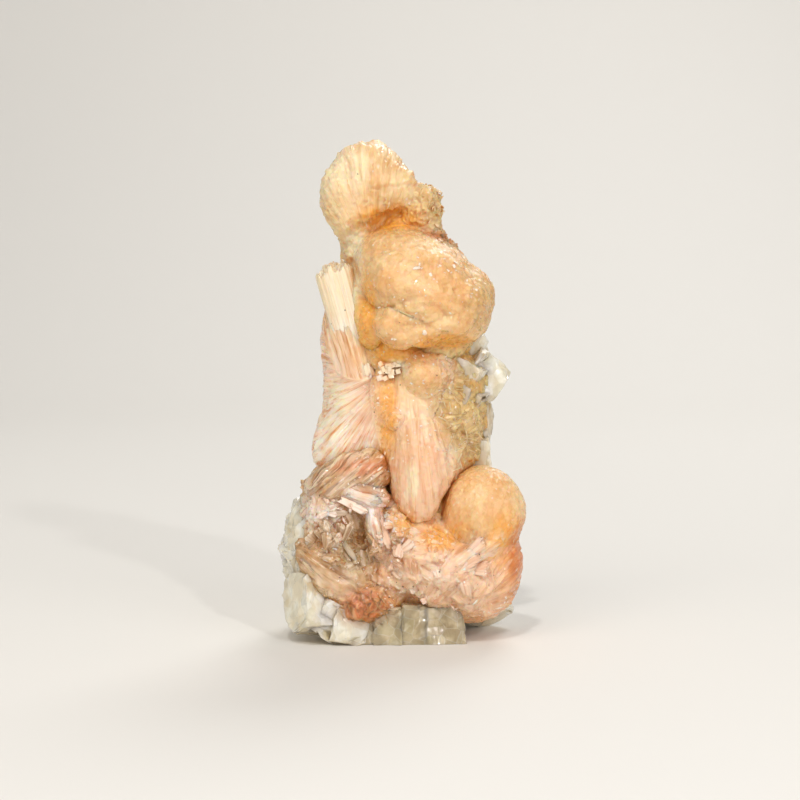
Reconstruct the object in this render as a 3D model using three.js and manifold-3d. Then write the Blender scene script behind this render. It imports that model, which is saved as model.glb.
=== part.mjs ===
// A hand-sized mineral specimen: peach stilbite bow-ties and balls, grown together with pale green
// apophyllite. It is one intergrown piece, so every form below is joined into one solid.
// Millimetres, +X to the right, +Y to the back, +Z up. It stands on a flat at z = 0.

import * as THREE from "three";
import { ConvexGeometry } from "three/addons/geometries/ConvexGeometry.js";
import { mergeVertices } from "three/addons/utils/BufferGeometryUtils.js";
import Module from "manifold-3d";

const wasm = await Module();
wasm.setup();

// ---- driving dimensions ----

const CLUSTER_WIDTH = 49.5;
const CLUSTER_DEPTH = 42;
const MIDDLE_BALL_RADII = [15, 12.6, 10];
const RIGHT_BALL_RADIUS = 8.3;
const SMALL_DOME_RADIUS = 4.7;
const BLOCK_SIZE = 8; // a full-sized apophyllite crystal, along its edge
const PLATE_LENGTH = 6; // a stilbite plate on the lower half
// From the axis that the forms are placed on to the middle of the cluster's box.
const BOX_MIDDLE = [0.173, 1.025];

// ---- small tools ----

const WELD = 1e-4; // corners closer than this are one corner
const TIDY = 0.08; // faces flatter than this are joined after the fuse
const UP = new THREE.Vector3(0, 0, 1);
const GOLDEN_ANGLE = Math.PI * (3 - Math.sqrt(5));

const vector = (xyz) => new THREE.Vector3(...xyz);
const radians = (degrees) => THREE.MathUtils.degToRad(degrees);

// Repeatable random numbers from 0 to 1.
function dice(seed) {
  let state = seed >>> 0;
  return () => {
    state = (state + 0x6d2b79f5) >>> 0;
    let t = state;
    t = Math.imul(t ^ (t >>> 15), t | 1);
    t ^= t + Math.imul(t ^ (t >>> 7), t | 61);
    return ((t ^ (t >>> 14)) >>> 0) / 4294967296;
  };
}

const between = (low, high, share) => low + (high - low) * share;

// A closed geometry as a solid that can be joined and cut.
function solidOf(geometry) {
  const loose = geometry.index ? geometry.toNonIndexed() : geometry.clone();
  loose.deleteAttribute("normal");
  loose.deleteAttribute("uv");
  const welded = mergeVertices(loose, WELD);
  return new wasm.Manifold(
    new wasm.Mesh({
      numProp: 3,
      vertProperties: welded.attributes.position.array,
      triVerts: new Uint32Array(welded.index.array),
    }),
  );
}

const convexSolid = (points) => solidOf(new ConvexGeometry(points));

// ---- the kinds of form ----

// How far a ray from the middle reaches to the outside of a round lobe, or 0 where it misses it.
function reachOfLobe(ray, lobe) {
  const along = ray.dot(lobe.at);
  const inside = along * along - lobe.at.lengthSq() + lobe.radius * lobe.radius;
  return inside > 0 ? along + Math.sqrt(inside) : 0;
}

// A ball or egg with overlapping round lobes on it. Its own +Z lies along `axis`, and a positive
// taper makes it thinner towards that end. Lobes are [x, y, z, radius] from its middle, before it
// is turned. With `ribs`, that many ridges run from pole to pole, with grooves between them that
// are `groove` deep, as a share.
function ball({
  centre,
  radii,
  axis = [0, 0, 1],
  taper = 0,
  lobes = [],
  detail = 4,
  ribs = 0,
  groove = 0.08,
}) {
  const geometry = ribs
    ? new THREE.SphereGeometry(1, 2 * ribs, 2 * detail).rotateX(Math.PI / 2)
    : new THREE.IcosahedronGeometry(1, detail);
  const corners = geometry.attributes.position;
  const spheres = lobes.map(([x, y, z, radius]) => ({ at: vector([x, y, z]), radius }));
  const [a, b, c] = radii;
  const ray = new THREE.Vector3();
  for (let i = 0; i < corners.count; i++) {
    ray.fromBufferAttribute(corners, i).normalize();
    const width = 1 - taper * ray.z;
    const body = 1 / Math.hypot(ray.x / (a * width), ray.y / (b * width), ray.z / c);
    const meridian = Math.round((Math.atan2(ray.y, ray.x) / Math.PI) * ribs);
    const cut = meridian % 2 ? groove * Math.hypot(ray.x, ray.y) : 0;
    const reach = Math.max(body, ...spheres.map((sphere) => reachOfLobe(ray, sphere))) * (1 - cut);
    corners.setXYZ(i, ray.x * reach, ray.y * reach, ray.z * reach);
  }
  const turn = new THREE.Quaternion().setFromUnitVectors(UP, vector(axis).normalize());
  geometry.applyQuaternion(turn).translate(...centre);
  return solidOf(geometry);
}

// A rough lump with flat faces: the hull of jittered points on an egg.
function chunk({ centre, radii, points, seed, jitter = 0.1 }) {
  const roll = dice(seed);
  const cloud = [];
  for (let i = 0; i < points; i++) {
    const z = 1 - (2 * (i + 0.5)) / points;
    const ring = Math.sqrt(1 - z * z);
    const angle = i * GOLDEN_ANGLE;
    const reach = 1 - jitter * roll();
    cloud.push(
      new THREE.Vector3(
        centre[0] + radii[0] * ring * Math.cos(angle) * reach,
        centre[1] + radii[1] * ring * Math.sin(angle) * reach,
        centre[2] + radii[2] * z * reach,
      ),
    );
  }
  return convexSolid(cloud);
}

// A flat blade from root to tip that widens on the way and ends in a low roof.
function blade({ root, tip, facing, width, thickness, rootShare = 0.3 }) {
  const along = tip.clone().sub(root).normalize();
  const across = along.clone().cross(facing).normalize();
  const out = across.clone().cross(along).normalize();
  const shoulder = tip.clone().addScaledVector(along, -0.3 * width);
  const points = [];
  const ring = (middle, halfWidth, halfThickness) => {
    for (const [u, w] of [[1, 1], [1, -1], [-1, 1], [-1, -1]]) {
      points.push(
        middle.clone().addScaledVector(across, u * halfWidth).addScaledVector(out, w * halfThickness),
      );
    }
  };
  ring(root, (width / 2) * rootShare, (thickness / 2) * rootShare);
  ring(shoulder, width / 2, thickness / 2);
  ring(tip, width * 0.18, thickness * 0.4);
  return convexSolid(points);
}

// Half a bow-tie: blades that fan out from a narrow waist.
function sheaf({ waist, axis, facing, length, spread, depth, count, rows, width, thickness, seed }) {
  const roll = dice(seed);
  const start = vector(waist);
  const middle = vector(axis).normalize();
  const side = middle.clone().cross(vector(facing)).normalize();
  const front = side.clone().cross(middle).normalize();
  const blades = [];
  for (let row = 0; row < rows; row++) {
    for (let i = 0; i < count; i++) {
      const swing = radians(between(-spread, spread, (i + 0.5 * (row % 2)) / (count - 0.5)));
      const lean = radians(rows > 1 ? between(-depth, depth, row / (rows - 1)) : 0);
      const way = middle
        .clone()
        .applyAxisAngle(front, swing + radians(roll() - 0.5) * 2)
        .applyAxisAngle(side, lean);
      const tip = start.clone().addScaledVector(way, length * (1 - 0.09 * roll()));
      blades.push(blade({ root: start, tip, facing: front, width, thickness }));
    }
  }
  return blades;
}

// A stubby four-sided apophyllite crystal: a box whose upper corners are cut to flat triangles.
function apophyllite({ centre, size, turn, cut = 0.3 }) {
  const [w, d, h] = size.map((edge) => edge / 2);
  const trim = Math.min(w, d, h) * 2 * cut;
  const points = [];
  for (const sx of [-1, 1]) {
    for (const sy of [-1, 1]) {
      points.push(new THREE.Vector3(sx * w, sy * d, -h));
      points.push(new THREE.Vector3(sx * (w - trim), sy * d, h));
      points.push(new THREE.Vector3(sx * w, sy * (d - trim), h));
      points.push(new THREE.Vector3(sx * w, sy * d, h - trim));
    }
  }
  const place = new THREE.Matrix4().makeRotationFromEuler(new THREE.Euler(...turn.map(radians)));
  place.setPosition(...centre);
  return convexSolid(points.map((point) => point.applyMatrix4(place)));
}

// A thin stilbite plate with pointed ends. `axis` is its length and `facing` its flat side.
function plate({ centre, length, width, thickness, axis, facing }) {
  const along = vector(axis).normalize();
  const across = along.clone().cross(vector(facing)).normalize();
  const out = across.clone().cross(along).normalize();
  const outline = [[0.5, 0], [0.3, 0.5], [-0.3, 0.5], [-0.5, 0], [-0.3, -0.5], [0.3, -0.5]];
  const points = [];
  for (const [u, v] of outline) {
    for (const side of [-0.5, 0.5]) {
      points.push(
        vector(centre)
          .addScaledVector(along, u * length)
          .addScaledVector(across, v * width)
          .addScaledVector(out, side * thickness),
      );
    }
  }
  return convexSolid(points);
}

// ---- the forms of this specimen, from the top down ----

// The hidden mass that everything grows from.
function heart() {
  return [
    chunk({ centre: [-1, 2.5, 17], radii: [19, 16, 18], points: 40, seed: 11 }),
    chunk({ centre: [1, 3.5, 42], radii: [14, 11.5, 21], points: 34, seed: 12 }),
    chunk({ centre: [0, 3, 66], radii: [9.5, 8.5, 17], points: 28, seed: 13 }),
  ];
}

// The ribbed cap at the top, its ragged right shoulder and the neck under it.
function topFan() {
  return [
    ball({
      centre: [-5.8, 0, 87.6],
      radii: [9.2, 8.8, 12],
      axis: [0.02, 0.12, 1],
      taper: -0.1,
      lobes: [[-2.4, 0, 3.4, 7.2], [1.6, 0, 4.6, 6], [0, -4, 1, 6.6], [-1, 3, 2, 7]],
      detail: 4,
      ribs: 14,
    }),
    chunk({ centre: [4.4, -2, 83.6], radii: [5, 5.6, 5.6], points: 20, seed: 21 }),
    chunk({ centre: [-0.6, -0.6, 87], radii: [4.8, 6.4, 4.6], points: 16, seed: 22 }),
    chunk({ centre: [-7.4, 0.5, 76.5], radii: [4.2, 6, 8.4], points: 20, seed: 23 }),
    chunk({ centre: [3, 2, 77], radii: [5.6, 6.5, 7], points: 18, seed: 26 }),
  ];
}

// The biggest ball, which leans down to the right and stands well forward.
function middleBall() {
  const lobes = [
    [-6.6, -6.8, -5.2, 4.6],
    [-1.6, -8.6, -4, 4.6],
    [6, -5.6, -1.6, 7],
    [-1.4, -6.2, -6.4, 4.6],
    [6, -3.6, -5, 5.2],
    [-4.6, -3.6, 1.8, 8.6],
    [2, -5.6, 1.6, 7],
    [10.4, 0, -0.8, 5],
    [2, 6, -4, 6],
    [-5, 6, 1.6, 6.2],
  ];
  const lean = radians(36);
  return [
    ball({
      centre: [4.6, -6, 69.2],
      radii: MIDDLE_BALL_RADII,
      axis: [Math.sin(lean), 0, Math.cos(lean)],
      lobes,
      detail: 5,
    }),
  ];
}

// The broad fan of blades that stands up on the left, against a flat-sided wall.
function leftSheaf() {
  return [
    chunk({ centre: [-11, -1, 56.5], radii: [5.2, 7, 12.4], points: 20, seed: 32, jitter: 0.05 }),
    ...sheaf({
      waist: [-1.8, -6.4, 46],
      axis: [-0.43, -0.06, 1],
      facing: [-0.12, -1, 0],
      length: 28.4,
      spread: 5,
      depth: 6.5,
      count: 4,
      rows: 2,
      width: 4.2,
      thickness: 5,
      seed: 31,
    }),
  ];
}

// The wide fan that falls away to the lower left, on a round shoulder.
function lowerLeftFan() {
  const fan = { facing: [-0.15, -1, 0.12], rows: 2, width: 4.2, thickness: 3.6 };
  return [
    ball({ centre: [-8.4, 0.5, 44], radii: [7, 8, 14], detail: 3 }),
    ...sheaf({
      ...fan,
      waist: [-1.6, -5.4, 48],
      axis: [-0.66, -0.16, -0.75],
      length: 16.2,
      spread: 30,
      depth: 12,
      count: 5,
      seed: 41,
    }),
    ...sheaf({
      ...fan,
      waist: [-3, -4, 50],
      axis: [-0.98, -0.1, 0.12],
      length: 12,
      spread: 22,
      depth: 10,
      count: 3,
      seed: 42,
    }),
  ];
}

// The club of close blades that hangs in the middle, thin at the top and round at the foot.
function centreSheaf() {
  return [
    ball({
      centre: [2.8, -11.4, 35.4],
      radii: [6.5, 6.2, 14.2],
      axis: [0.19, -0.24, -1],
      taper: -0.26,
      detail: 4,
      ribs: 9,
      groove: 0.1,
    }),
    ball({ centre: [7.4, -8, 34.6], radii: [5.2, 5.4, 8.6], axis: [0.25, -0.1, -1], detail: 2 }),
  ];
}

// The small pale dome tucked under the middle ball.
function smallDome() {
  const radii = [SMALL_DOME_RADIUS, SMALL_DOME_RADIUS, SMALL_DOME_RADIUS];
  return [ball({ centre: [4.4, -8.4, 54], radii, lobes: [[2.4, -0.4, -1.6, 3.2]], detail: 2 })];
}

// The nest of crossed needles on the right, below the middle ball.
function needleNest() {
  const roll = dice(51);
  const nest = [chunk({ centre: [11, -1.6, 44.5], radii: [6.9, 8.4, 15], points: 30, seed: 52 })];
  const needles = 11;
  for (let i = 0; i < needles; i++) {
    const place = new THREE.Vector3(
      between(8.5, 15.5, roll()),
      -8.2 + 2 * roll(),
      between(36, 57, (i + 0.5) / needles),
    );
    const way = new THREE.Vector3(roll() - 0.45, -0.5 * roll(), 0.4 - 1.2 * roll()).normalize();
    const root = place.clone().addScaledVector(way, -4.5);
    const tip = place.clone().addScaledVector(way, 2.6);
    nest.push(blade({ root, tip, facing: vector([0, -1, 0.2]), width: 2, thickness: 1.6, rootShare: 0.8 }));
  }
  return nest;
}

// The clear crystal that points to the right, with two smaller ones beside it.
function rightApophyllite() {
  return [
    apophyllite({ centre: [15.6, -1.6, 51.6], size: [7.6, BLOCK_SIZE, 8.4], turn: [-18, 40, 14] }),
    apophyllite({ centre: [13.6, 0.6, 57], size: [5.4, 6, 6.4], turn: [8, -10, 30] }),
    apophyllite({ centre: [14, 0.6, 43], size: [6, 8, 9], turn: [6, 4, 20] }),
    apophyllite({ centre: [14.6, -0.6, 35.6], size: [6, 8, 8], turn: [6, -8, 10] }),
  ];
}

// The smooth ball at the lower right.
function rightBall() {
  const radii = [RIGHT_BALL_RADIUS, RIGHT_BALL_RADIUS, RIGHT_BALL_RADIUS * 1.03];
  return [
    ball({
      centre: [15.8, -7, 25.2],
      radii,
      lobes: [[3, -0.6, 0.6, 5.4], [-2.4, -3, 2.4, 5.2], [0.6, 3, 3, 5.2]],
      detail: 4,
    }),
  ];
}

// The rough foot under that ball, its upright flange and its scatter of plates.
function lowerRight() {
  const roll = dice(61);
  const foot = [
    chunk({ centre: [11.4, -2.4, 13.2], radii: [12.4, 14.6, 10.6], points: 36, seed: 62 }),
    chunk({ centre: [4, -9, 18], radii: [8, 8, 8], points: 20, seed: 63 }),
    chunk({ centre: [14.4, -4.4, 8.6], radii: [7, 9, 5.6], points: 18, seed: 65 }),
    ...sheaf({
      waist: [13, -8, 5.4],
      axis: [0.58, -0.04, 0.8],
      facing: [0.1, -1, 0.1],
      length: 16,
      spread: 12,
      depth: 12,
      count: 4,
      rows: 2,
      width: 4.4,
      thickness: 3.4,
      seed: 64,
    }),
    plate({
      centre: [11.4, -15.4, 16.4],
      length: 14.5,
      width: 5.2,
      thickness: 2,
      axis: [0.84, 0.06, 0.54],
      facing: [-0.14, -1, 0.3],
    }),
    plate({
      centre: [7, -15.6, 13.6],
      length: 9,
      width: 5,
      thickness: 2,
      axis: [0.9, -0.1, 0.3],
      facing: [0.1, -1, 0.4],
    }),
  ];
  const plates = 18;
  for (let i = 0; i < plates; i++) {
    const turn = radians(between(-78, 74, roll()));
    const height = between(5.5, 19, roll());
    const bulge = Math.sqrt(Math.max(0, 1 - ((height - 14) / 12.6) ** 2));
    foot.push(
      plate({
        centre: [10 + 11.2 * bulge * Math.sin(turn), -2 - 13.6 * bulge * Math.cos(turn), height],
        length: PLATE_LENGTH * between(0.7, 1.15, roll()),
        width: PLATE_LENGTH * between(0.4, 0.65, roll()),
        thickness: between(1, 1.8, roll()),
        axis: [roll() - 0.3, 0.2 * roll(), roll() - 0.4],
        facing: [Math.sin(turn) + 0.7 * (roll() - 0.5), -Math.cos(turn), 0.9 * roll()],
      }),
    );
  }
  return foot;
}

// The brown and clear crystals at the lower left, round a hollow with flat sides.
function lowerLeft() {
  const roll = dice(71);
  const mass = [
    chunk({ centre: [-12, -1, 14.5], radii: [11.2, 14.6, 15.6], points: 36, seed: 72 }),
    chunk({ centre: [-10.6, -2.2, 27.6], radii: [9.6, 10.6, 10.4], points: 24, seed: 73 }),
  ];
  const rim = 16;
  for (let i = 0; i < rim; i++) {
    const angle = (i / rim) * 2 * Math.PI;
    const wide = between(7.4, 9.6, roll());
    mass.push(
      plate({
        centre: [
          -8.6 + wide * Math.cos(angle),
          -12.2 + 0.28 * wide * (1 - Math.sin(angle)) - 2.2 * roll(),
          18 + wide * 1.15 * Math.sin(angle),
        ],
        length: PLATE_LENGTH * between(0.8, 1.3, roll()),
        width: PLATE_LENGTH * between(0.45, 0.75, roll()),
        thickness: between(1.2, 2.2, roll()),
        axis: [Math.cos(angle) + 0.6 * (roll() - 0.5), -0.3 * roll(), Math.sin(angle)],
        facing: [0.8 * (roll() - 0.5), -1, 0.3 + 0.5 * roll()],
      }),
    );
  }
  return mass;
}

// The flat-sided hollow in the lower left, cut out of the mass.
function lowerLeftHollow() {
  return apophyllite({ centre: [-6.6, -16.4, 18], size: [8.5, 9, 11], turn: [24, -28, 34], cut: 0.25 });
}

// Clear apophyllite down the left edge.
function leftApophyllite() {
  const crystals = [
    [[-19.4, -4.4, 15.2], [7, 8, 8], [14, -22, 20]],
    [[-17.4, -8.6, 9.6], [8, 8, 9], [-12, 18, 38]],
    [[-18, 1, 9], [8, 9, 10], [4, -14, 12]],
    [[-14.4, -9.8, 4.6], [7.4, 7, 7], [10, 34, 24]],
    [[-17.4, 0.6, 23], [6, 7, 8], [20, -20, 30]],
    [[-10.4, -11, 3], [7, 7, 6.4], [-6, 12, 12]],
  ];
  return crystals.map(([centre, size, turn]) => apophyllite({ centre, size, turn }));
}

// The row of square blocks that it stands on, set back under the rest.
function baseBlocks() {
  const crystals = [
    [[-7.4, -9.6, 3.2], [5.4, 7, 7.2], [0, 0, 6]],
    [[-2.2, -9.8, 3.4], [5.6, 7.4, 8], [0, 0, -4]],
    [[2.6, -9.2, 3.6], [5, 7.6, 8.6], [0, 3, 2]],
    [[8.6, -9, 3.4], [8.2, 7.4, 8.4], [0, -5, 5]],
    [[7, 3, 3.6], [9, 9, 8.6], [0, 0, 24]],
    [[-7, 5, 3.4], [9, 9, 8], [0, 0, -16]],
  ];
  return crystals.map(([centre, size, turn]) => apophyllite({ centre, size, turn, cut: 0.12 }));
}

// Blocky crystals all over the back, big at the foot and smaller higher up.
function backCrystals() {
  const roll = dice(81);
  const crystals = [];
  const rows = [
    { height: 7, count: 5, wide: 17, deep: 14.6, size: 9.6 },
    { height: 17, count: 5, wide: 15.6, deep: 15, size: 9.6 },
    { height: 27, count: 4, wide: 13, deep: 13.2, size: 9 },
    { height: 37, count: 4, wide: 10.6, deep: 11.8, size: 8 },
    { height: 47, count: 3, wide: 8.6, deep: 11.2, size: 8 },
    { height: 58, count: 3, wide: 7, deep: 9.8, size: 7.2 },
    { height: 68, count: 2, wide: 5, deep: 8.6, size: 6.8 },
  ];
  for (const { height, count, wide, deep, size } of rows) {
    for (let i = 0; i < count; i++) {
      const side = between(-72, 72, (i + 0.25 + 0.5 * roll()) / count);
      const edge = size * between(0.75, 1.1, roll());
      crystals.push(
        apophyllite({
          centre: [
            wide * Math.sin(radians(side)),
            3 + deep * Math.cos(radians(side)) - edge * 0.3,
            height + 3 * (roll() - 0.5),
          ],
          size: [edge, edge * between(0.8, 1.1, roll()), edge * between(0.9, 1.3, roll())],
          turn: [between(-40, 10, roll()), between(-25, 25, roll()), -side + between(0, 50, roll())],
        }),
      );
    }
  }
  return crystals;
}

// ---- the cluster ----

// Everything below the flat that it stands on.
function belowTheFlat() {
  const depth = 20;
  const box = new THREE.BoxGeometry(2 * CLUSTER_WIDTH, 2 * CLUSTER_DEPTH, depth);
  return solidOf(box.translate(0, 0, -depth / 2));
}

// The outer shell alone: gaps that the crystals close off between them are filled.
function withoutVoids(solid) {
  const shells = solid.decompose();
  return shells.reduce((most, shell) => (shell.volume() > most.volume() ? shell : most));
}

function clusterSolid() {
  const grown = wasm.Manifold.union([...heart(), ...lowerLeft(), ...lowerRight()]);
  const hollowed = grown.subtract(lowerLeftHollow());
  const all = [
    hollowed,
    ...topFan(),
    ...middleBall(),
    ...leftSheaf(),
    ...lowerLeftFan(),
    ...centreSheaf(),
    ...smallDome(),
    ...needleNest(),
    ...rightApophyllite(),
    ...rightBall(),
    ...leftApophyllite(),
    ...baseBlocks(),
    ...backCrystals(),
  ];
  return withoutVoids(wasm.Manifold.union(all).subtract(belowTheFlat()).simplify(TIDY));
}

function geometryOf(solid) {
  const { vertProperties, triVerts } = solid.getMesh();
  const geometry = new THREE.BufferGeometry();
  geometry.setAttribute("position", new THREE.BufferAttribute(vertProperties, 3));
  geometry.setIndex(new THREE.BufferAttribute(triVerts, 1));
  geometry.translate(-BOX_MIDDLE[0], -BOX_MIDDLE[1], 0);
  geometry.computeVertexNormals();
  return geometry;
}

const stilbite = new THREE.MeshStandardMaterial({
  color: 0xeab681,
  roughness: 0.35,
  metalness: 0,
  flatShading: true,
});

const cluster = new THREE.Mesh(geometryOf(clusterSolid()), stilbite);
cluster.name = "crystal_cluster";

const specimen = new THREE.Group();
specimen.add(cluster);

export default specimen;
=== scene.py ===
"""The looks of a mineral specimen: peach stilbite grown together with pale green apophyllite.

Forms are placed in the specimen's own millimetres, +X right, +Y back and +Z up, and each mesh
is moved to the frame's metres as it is made. Every random number has a fixed seed.
"""

import functools
import math
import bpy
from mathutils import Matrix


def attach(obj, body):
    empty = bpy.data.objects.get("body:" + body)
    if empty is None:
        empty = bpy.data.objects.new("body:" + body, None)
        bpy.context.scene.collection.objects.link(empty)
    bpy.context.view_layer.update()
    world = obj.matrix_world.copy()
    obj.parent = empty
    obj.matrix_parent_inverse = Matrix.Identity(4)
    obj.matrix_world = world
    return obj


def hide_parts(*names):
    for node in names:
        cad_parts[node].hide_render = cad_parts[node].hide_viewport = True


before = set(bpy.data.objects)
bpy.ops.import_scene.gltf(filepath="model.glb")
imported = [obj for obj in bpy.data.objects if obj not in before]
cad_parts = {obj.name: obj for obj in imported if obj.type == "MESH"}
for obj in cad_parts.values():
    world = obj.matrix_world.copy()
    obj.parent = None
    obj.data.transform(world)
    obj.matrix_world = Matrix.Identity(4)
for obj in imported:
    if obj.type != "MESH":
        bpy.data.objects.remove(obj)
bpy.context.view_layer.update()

from types import SimpleNamespace

import bmesh
import bpy
import numpy as np
from mathutils import Euler, Vector

# ---- driving dimensions, in millimetres ----

MM = 0.001
NODE = "crystal_cluster"
BOX_MIDDLE = np.array([0.173, 1.025, 0.0])  # the same shift as the solid's
BALL_CENTRE = np.array([4.6, -6.0, 69.8])
BALL_RADII = (15.0, 12.4, 9.5)
BALL_LEAN = math.radians(36)  # down to the right
BALL_WAIST = (3, 2, 66)  # a waist is where the fibres of a form start
CLUB_WAIST = (1, -3, 66)
FAN_WAIST = (-0.4, -3.4, 54.0)
FLANGE_WAIST = (12.4, -6.5, 7.6)
ARCH_WAIST = (-30, 0, 16)
SHEAF_FOOT = np.array([22.2, -4.6, -57.7])  # so far below that its laths hardly spread
SHEAF_REACH = 138
SHEAF_WAY = (-0.26, -0.01, 0.966)
VOXEL = 0.3  # how fine the fused skins are
FRONT, UP = (0, -1, 0), (0, 0, 1)

# The tints that lie over the forms: colour, strength, and the middle and reach of each zone.
TINTS = {
    # Amber is partly the deeper tone of thick stilbite and partly painted glow: its zones lie in undercuts,
    # creases and low sides, where light shining through in shade turns the stone orange.
    "amber_and_painted_glow": ("F6AC3C", 0.85, [
        ((-1.6, -5.0, 83.0), (8.0, 7.0, 3.6)), ((-1.4, -8.0, 57.0), (5.0, 8.0, 4.0)),
        ((-6.4, -12.0, 66.0), (2.2, 9.0, 8.0)), ((-2.4, -9.0, 44.0), (2.2, 8.0, 9.0)),
        ((20.6, -12.0, 20.0), (6.0, 9.0, 7.0)), ((8.0, -14.0, 21.4), (6.0, 8.0, 3.4)),
        ((10.0, -14.0, 59.0), (9.0, 8.0, 2.6)), ((1.0, -14.0, 24.0), (4.0, 8.0, 4.0)),
    ]),
    "rust": ("D2763F", 0.8, [
        ((24.6, -8.0, 17.0), (4.4, 12.0, 9.0)), ((-7.0, -14.0, 7.6), (6.4, 9.0, 4.0)),
        ((8.6, -1.0, 79.0), (8.0, 4.4, 3.6)), ((5.6, -6.0, 79.7), (6.4, 5.0, 1.5)),
        ((-7.0, -12.0, 35.0), (7.0, 6.0, 2.4)),
    ]),
    "blush": ("F3CBA8", 0.8, [
        ((-10.0, -8.0, 47.0), (8.0, 10.0, 9.0)), ((4.6, -16.0, 30.0), (8.0, 9.0, 9.0)),
        ((12.0, -16.0, 12.0), (10.0, 10.0, 8.0)), ((0.0, -16.0, 17.0), (6.0, 10.0, 6.0)),
    ]),
    # Cream is a paler tone; its narrow zone down the middle of the club is a painted highlight.
    "cream": ("F6E6C2", 0.85, [
        ((-13.0, -8.0, 71.0), (7.0, 10.0, 7.4)), ((-12.0, -3.0, 92.0), (7.0, 9.0, 9.0)),
        ((2.4, -15.0, 32.4), (1.5, 6.0, 4.6)), ((-0.6, -12.0, 54.0), (3.4, 6.0, 2.2)),
        ((-9.4, -8.0, 77.6), (3.4, 8.0, 4.0)), ((-13.0, -8.0, 45.0), (4.6, 8.0, 7.0)),
    ]),
    "olive": ("CFA663", 0.6, [
        ((13.0, -6.0, 45.0), (7.0, 9.0, 12.0)), ((6.0, -3.0, 86.0), (5.0, 8.0, 6.0)),
        ((15.0, -10.0, 66.0), (5.4, 9.0, 6.4)),
    ]),
    "umber": ("C4A678", 0.7, [((-8.4, -11.0, 19.0), (4.4, 8.0, 8.0))]),
}

# The looks of the fused forms: body, pale and deep colours, then how lined, patchy and dull.
TONES, LEVELS = ("body", "pale", "deep"), ("lined", "patchy", "dull")
LOOKS = {
    "ball": ("E9B576", "F3CF9A", "D99C52", 0.26, 0.32, 0.28),
    "cap": ("E6B97F", "F3D6A6", "D39A54", 0.55, 0.35, 0.42),
    "satin": ("ECB888", "F8DCBA", "D68C4E", 0.55, 0.45, 0.32),
    "fan": ("F3CCA6", "FFEFE0", "DA8C50", 1.0, 0.6, 0.3),
    "sheaf": ("EBBC88", "FAE2C2", "C88A4A", 0.95, 0.5, 0.32),
    "granular": ("E8B080", "FADEC0", "C98446", 0.5, 0.7, 0.3),
    # Amber forms fill undercuts and creases: the deeper tone of thick stilbite, with painted glow of light
    # that shines through in shade.
    "amber_and_painted_glow": ("F0AA4C", "F8C67C", "DA8A2C", 0.45, 0.4, 0.3),
    "stained": ("D88E50", "EDBA8A", "B8662C", 0.55, 0.6, 0.4),
    "brown": ("C39664", "F4DABA", "8C6236", 0.9, 1.0, 0.2),
    "nest": ("D0A460", "F0D69C", "A0783A", 0.7, 0.8, 0.28),
    "pink": ("EBBF9C", "FFF2E8", "C8865A", 0.8, 1.0, 0.24),
}


def colour(code):
    """A linear colour from an sRGB hex code."""
    parts = [int(code[k : k + 2], 16) / 255 for k in (0, 2, 4)]
    return tuple(p / 12.92 if p <= 0.04045 else ((p + 0.055) / 1.055) ** 2.4 for p in parts) + (1,)


# ---- repeatable randomness ----


def hashed(cells, seed):
    """A whole number for each whole-numbered cell, quite unlike its neighbours'."""
    x, y, z = cells.astype(np.int64).astype(np.uint32).T
    h = x * np.uint32(0x8DA6B343) ^ y * np.uint32(0xD8163841) ^ z * np.uint32(0xCB1AB31F)
    h = h ^ np.uint32(seed)
    for shift, factor in ((16, 0x7FEB352D), (15, 0x846CA68B)):
        h = (h ^ (h >> np.uint32(shift))) * np.uint32(factor)
    return h ^ (h >> np.uint32(16))


def scramble(cells, seed):
    """A repeatable number from 0 to 1 for each whole-numbered cell."""
    return hashed(cells, seed * 0x9E3779B9 % 2**32) / 2.0**32


def slopes(cells, seed):
    """A repeatable slope for each cell: three numbers from -0.5 to 0.5."""
    return np.stack([scramble(cells, seed + k) for k in range(3)], axis=1) - 0.5


def unit(vectors):
    """The same vectors, one long."""
    return vectors / np.maximum(np.linalg.norm(vectors, axis=-1, keepdims=True), 1e-12)


GRADIENTS = unit(np.random.default_rng(5).normal(size=(256, 3)))


def ripple(points, seed):
    """Smooth noise with waves about one long, from -1 to 1."""
    base = np.floor(points).astype(np.int64)
    part = points - base
    fade = part**3 * (part * (part * 6 - 15) + 10)
    total = np.zeros(len(points))
    for corner in np.ndindex(2, 2, 2):
        slope = GRADIENTS[(scramble(base + corner, seed) * len(GRADIENTS)).astype(int)]
        weight = np.prod(np.where(corner, fade, 1 - fade), axis=1)
        total += weight * ((part - corner) * slope).sum(1)
    return total * 1.7


def swell(points, size, seed, octaves=3):
    """Noise whose largest waves are `size` long, with finer ones on them."""
    total = np.zeros(len(points))
    for octave in range(octaves):
        total += ripple(points * (2.03**octave / size), seed + octave) * 0.5**octave
    return total


def grains(points, seed):
    """For each point: the nearest grain's cell, the way from its middle, and the gap to the next."""
    base = np.floor(points).astype(np.int64)
    nearest = np.full(len(points), np.inf)
    second = nearest.copy()
    away = np.zeros_like(points)
    home = np.zeros_like(base)
    for step in np.ndindex(3, 3, 3):
        cell = base + np.array(step) - 1
        h = hashed(cell, seed)
        middle = np.stack([h & 1023, (h >> 10) & 1023, (h >> 20) & 1023], axis=1) / 1023
        offset = points - cell - middle
        distance = (offset**2).sum(1)
        closer = distance < nearest
        second = np.where(closer, nearest, np.minimum(second, distance))
        away[closer] = offset[closer]
        home[closer] = cell[closer]
        nearest = np.where(closer, distance, nearest)
    return home, away, np.sqrt(second) - np.sqrt(nearest)


def facets(points, size, seed):
    """Heights of a skin of grains about `size` across, each with a flat face at its own tilt."""
    home, away, _ = grains(points / size, seed)
    tilt = slopes(home, seed + 10)
    return size * ((away * tilt).sum(1) * 1.6 + 0.5 * (scramble(home, seed + 20) - 0.5))


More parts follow.
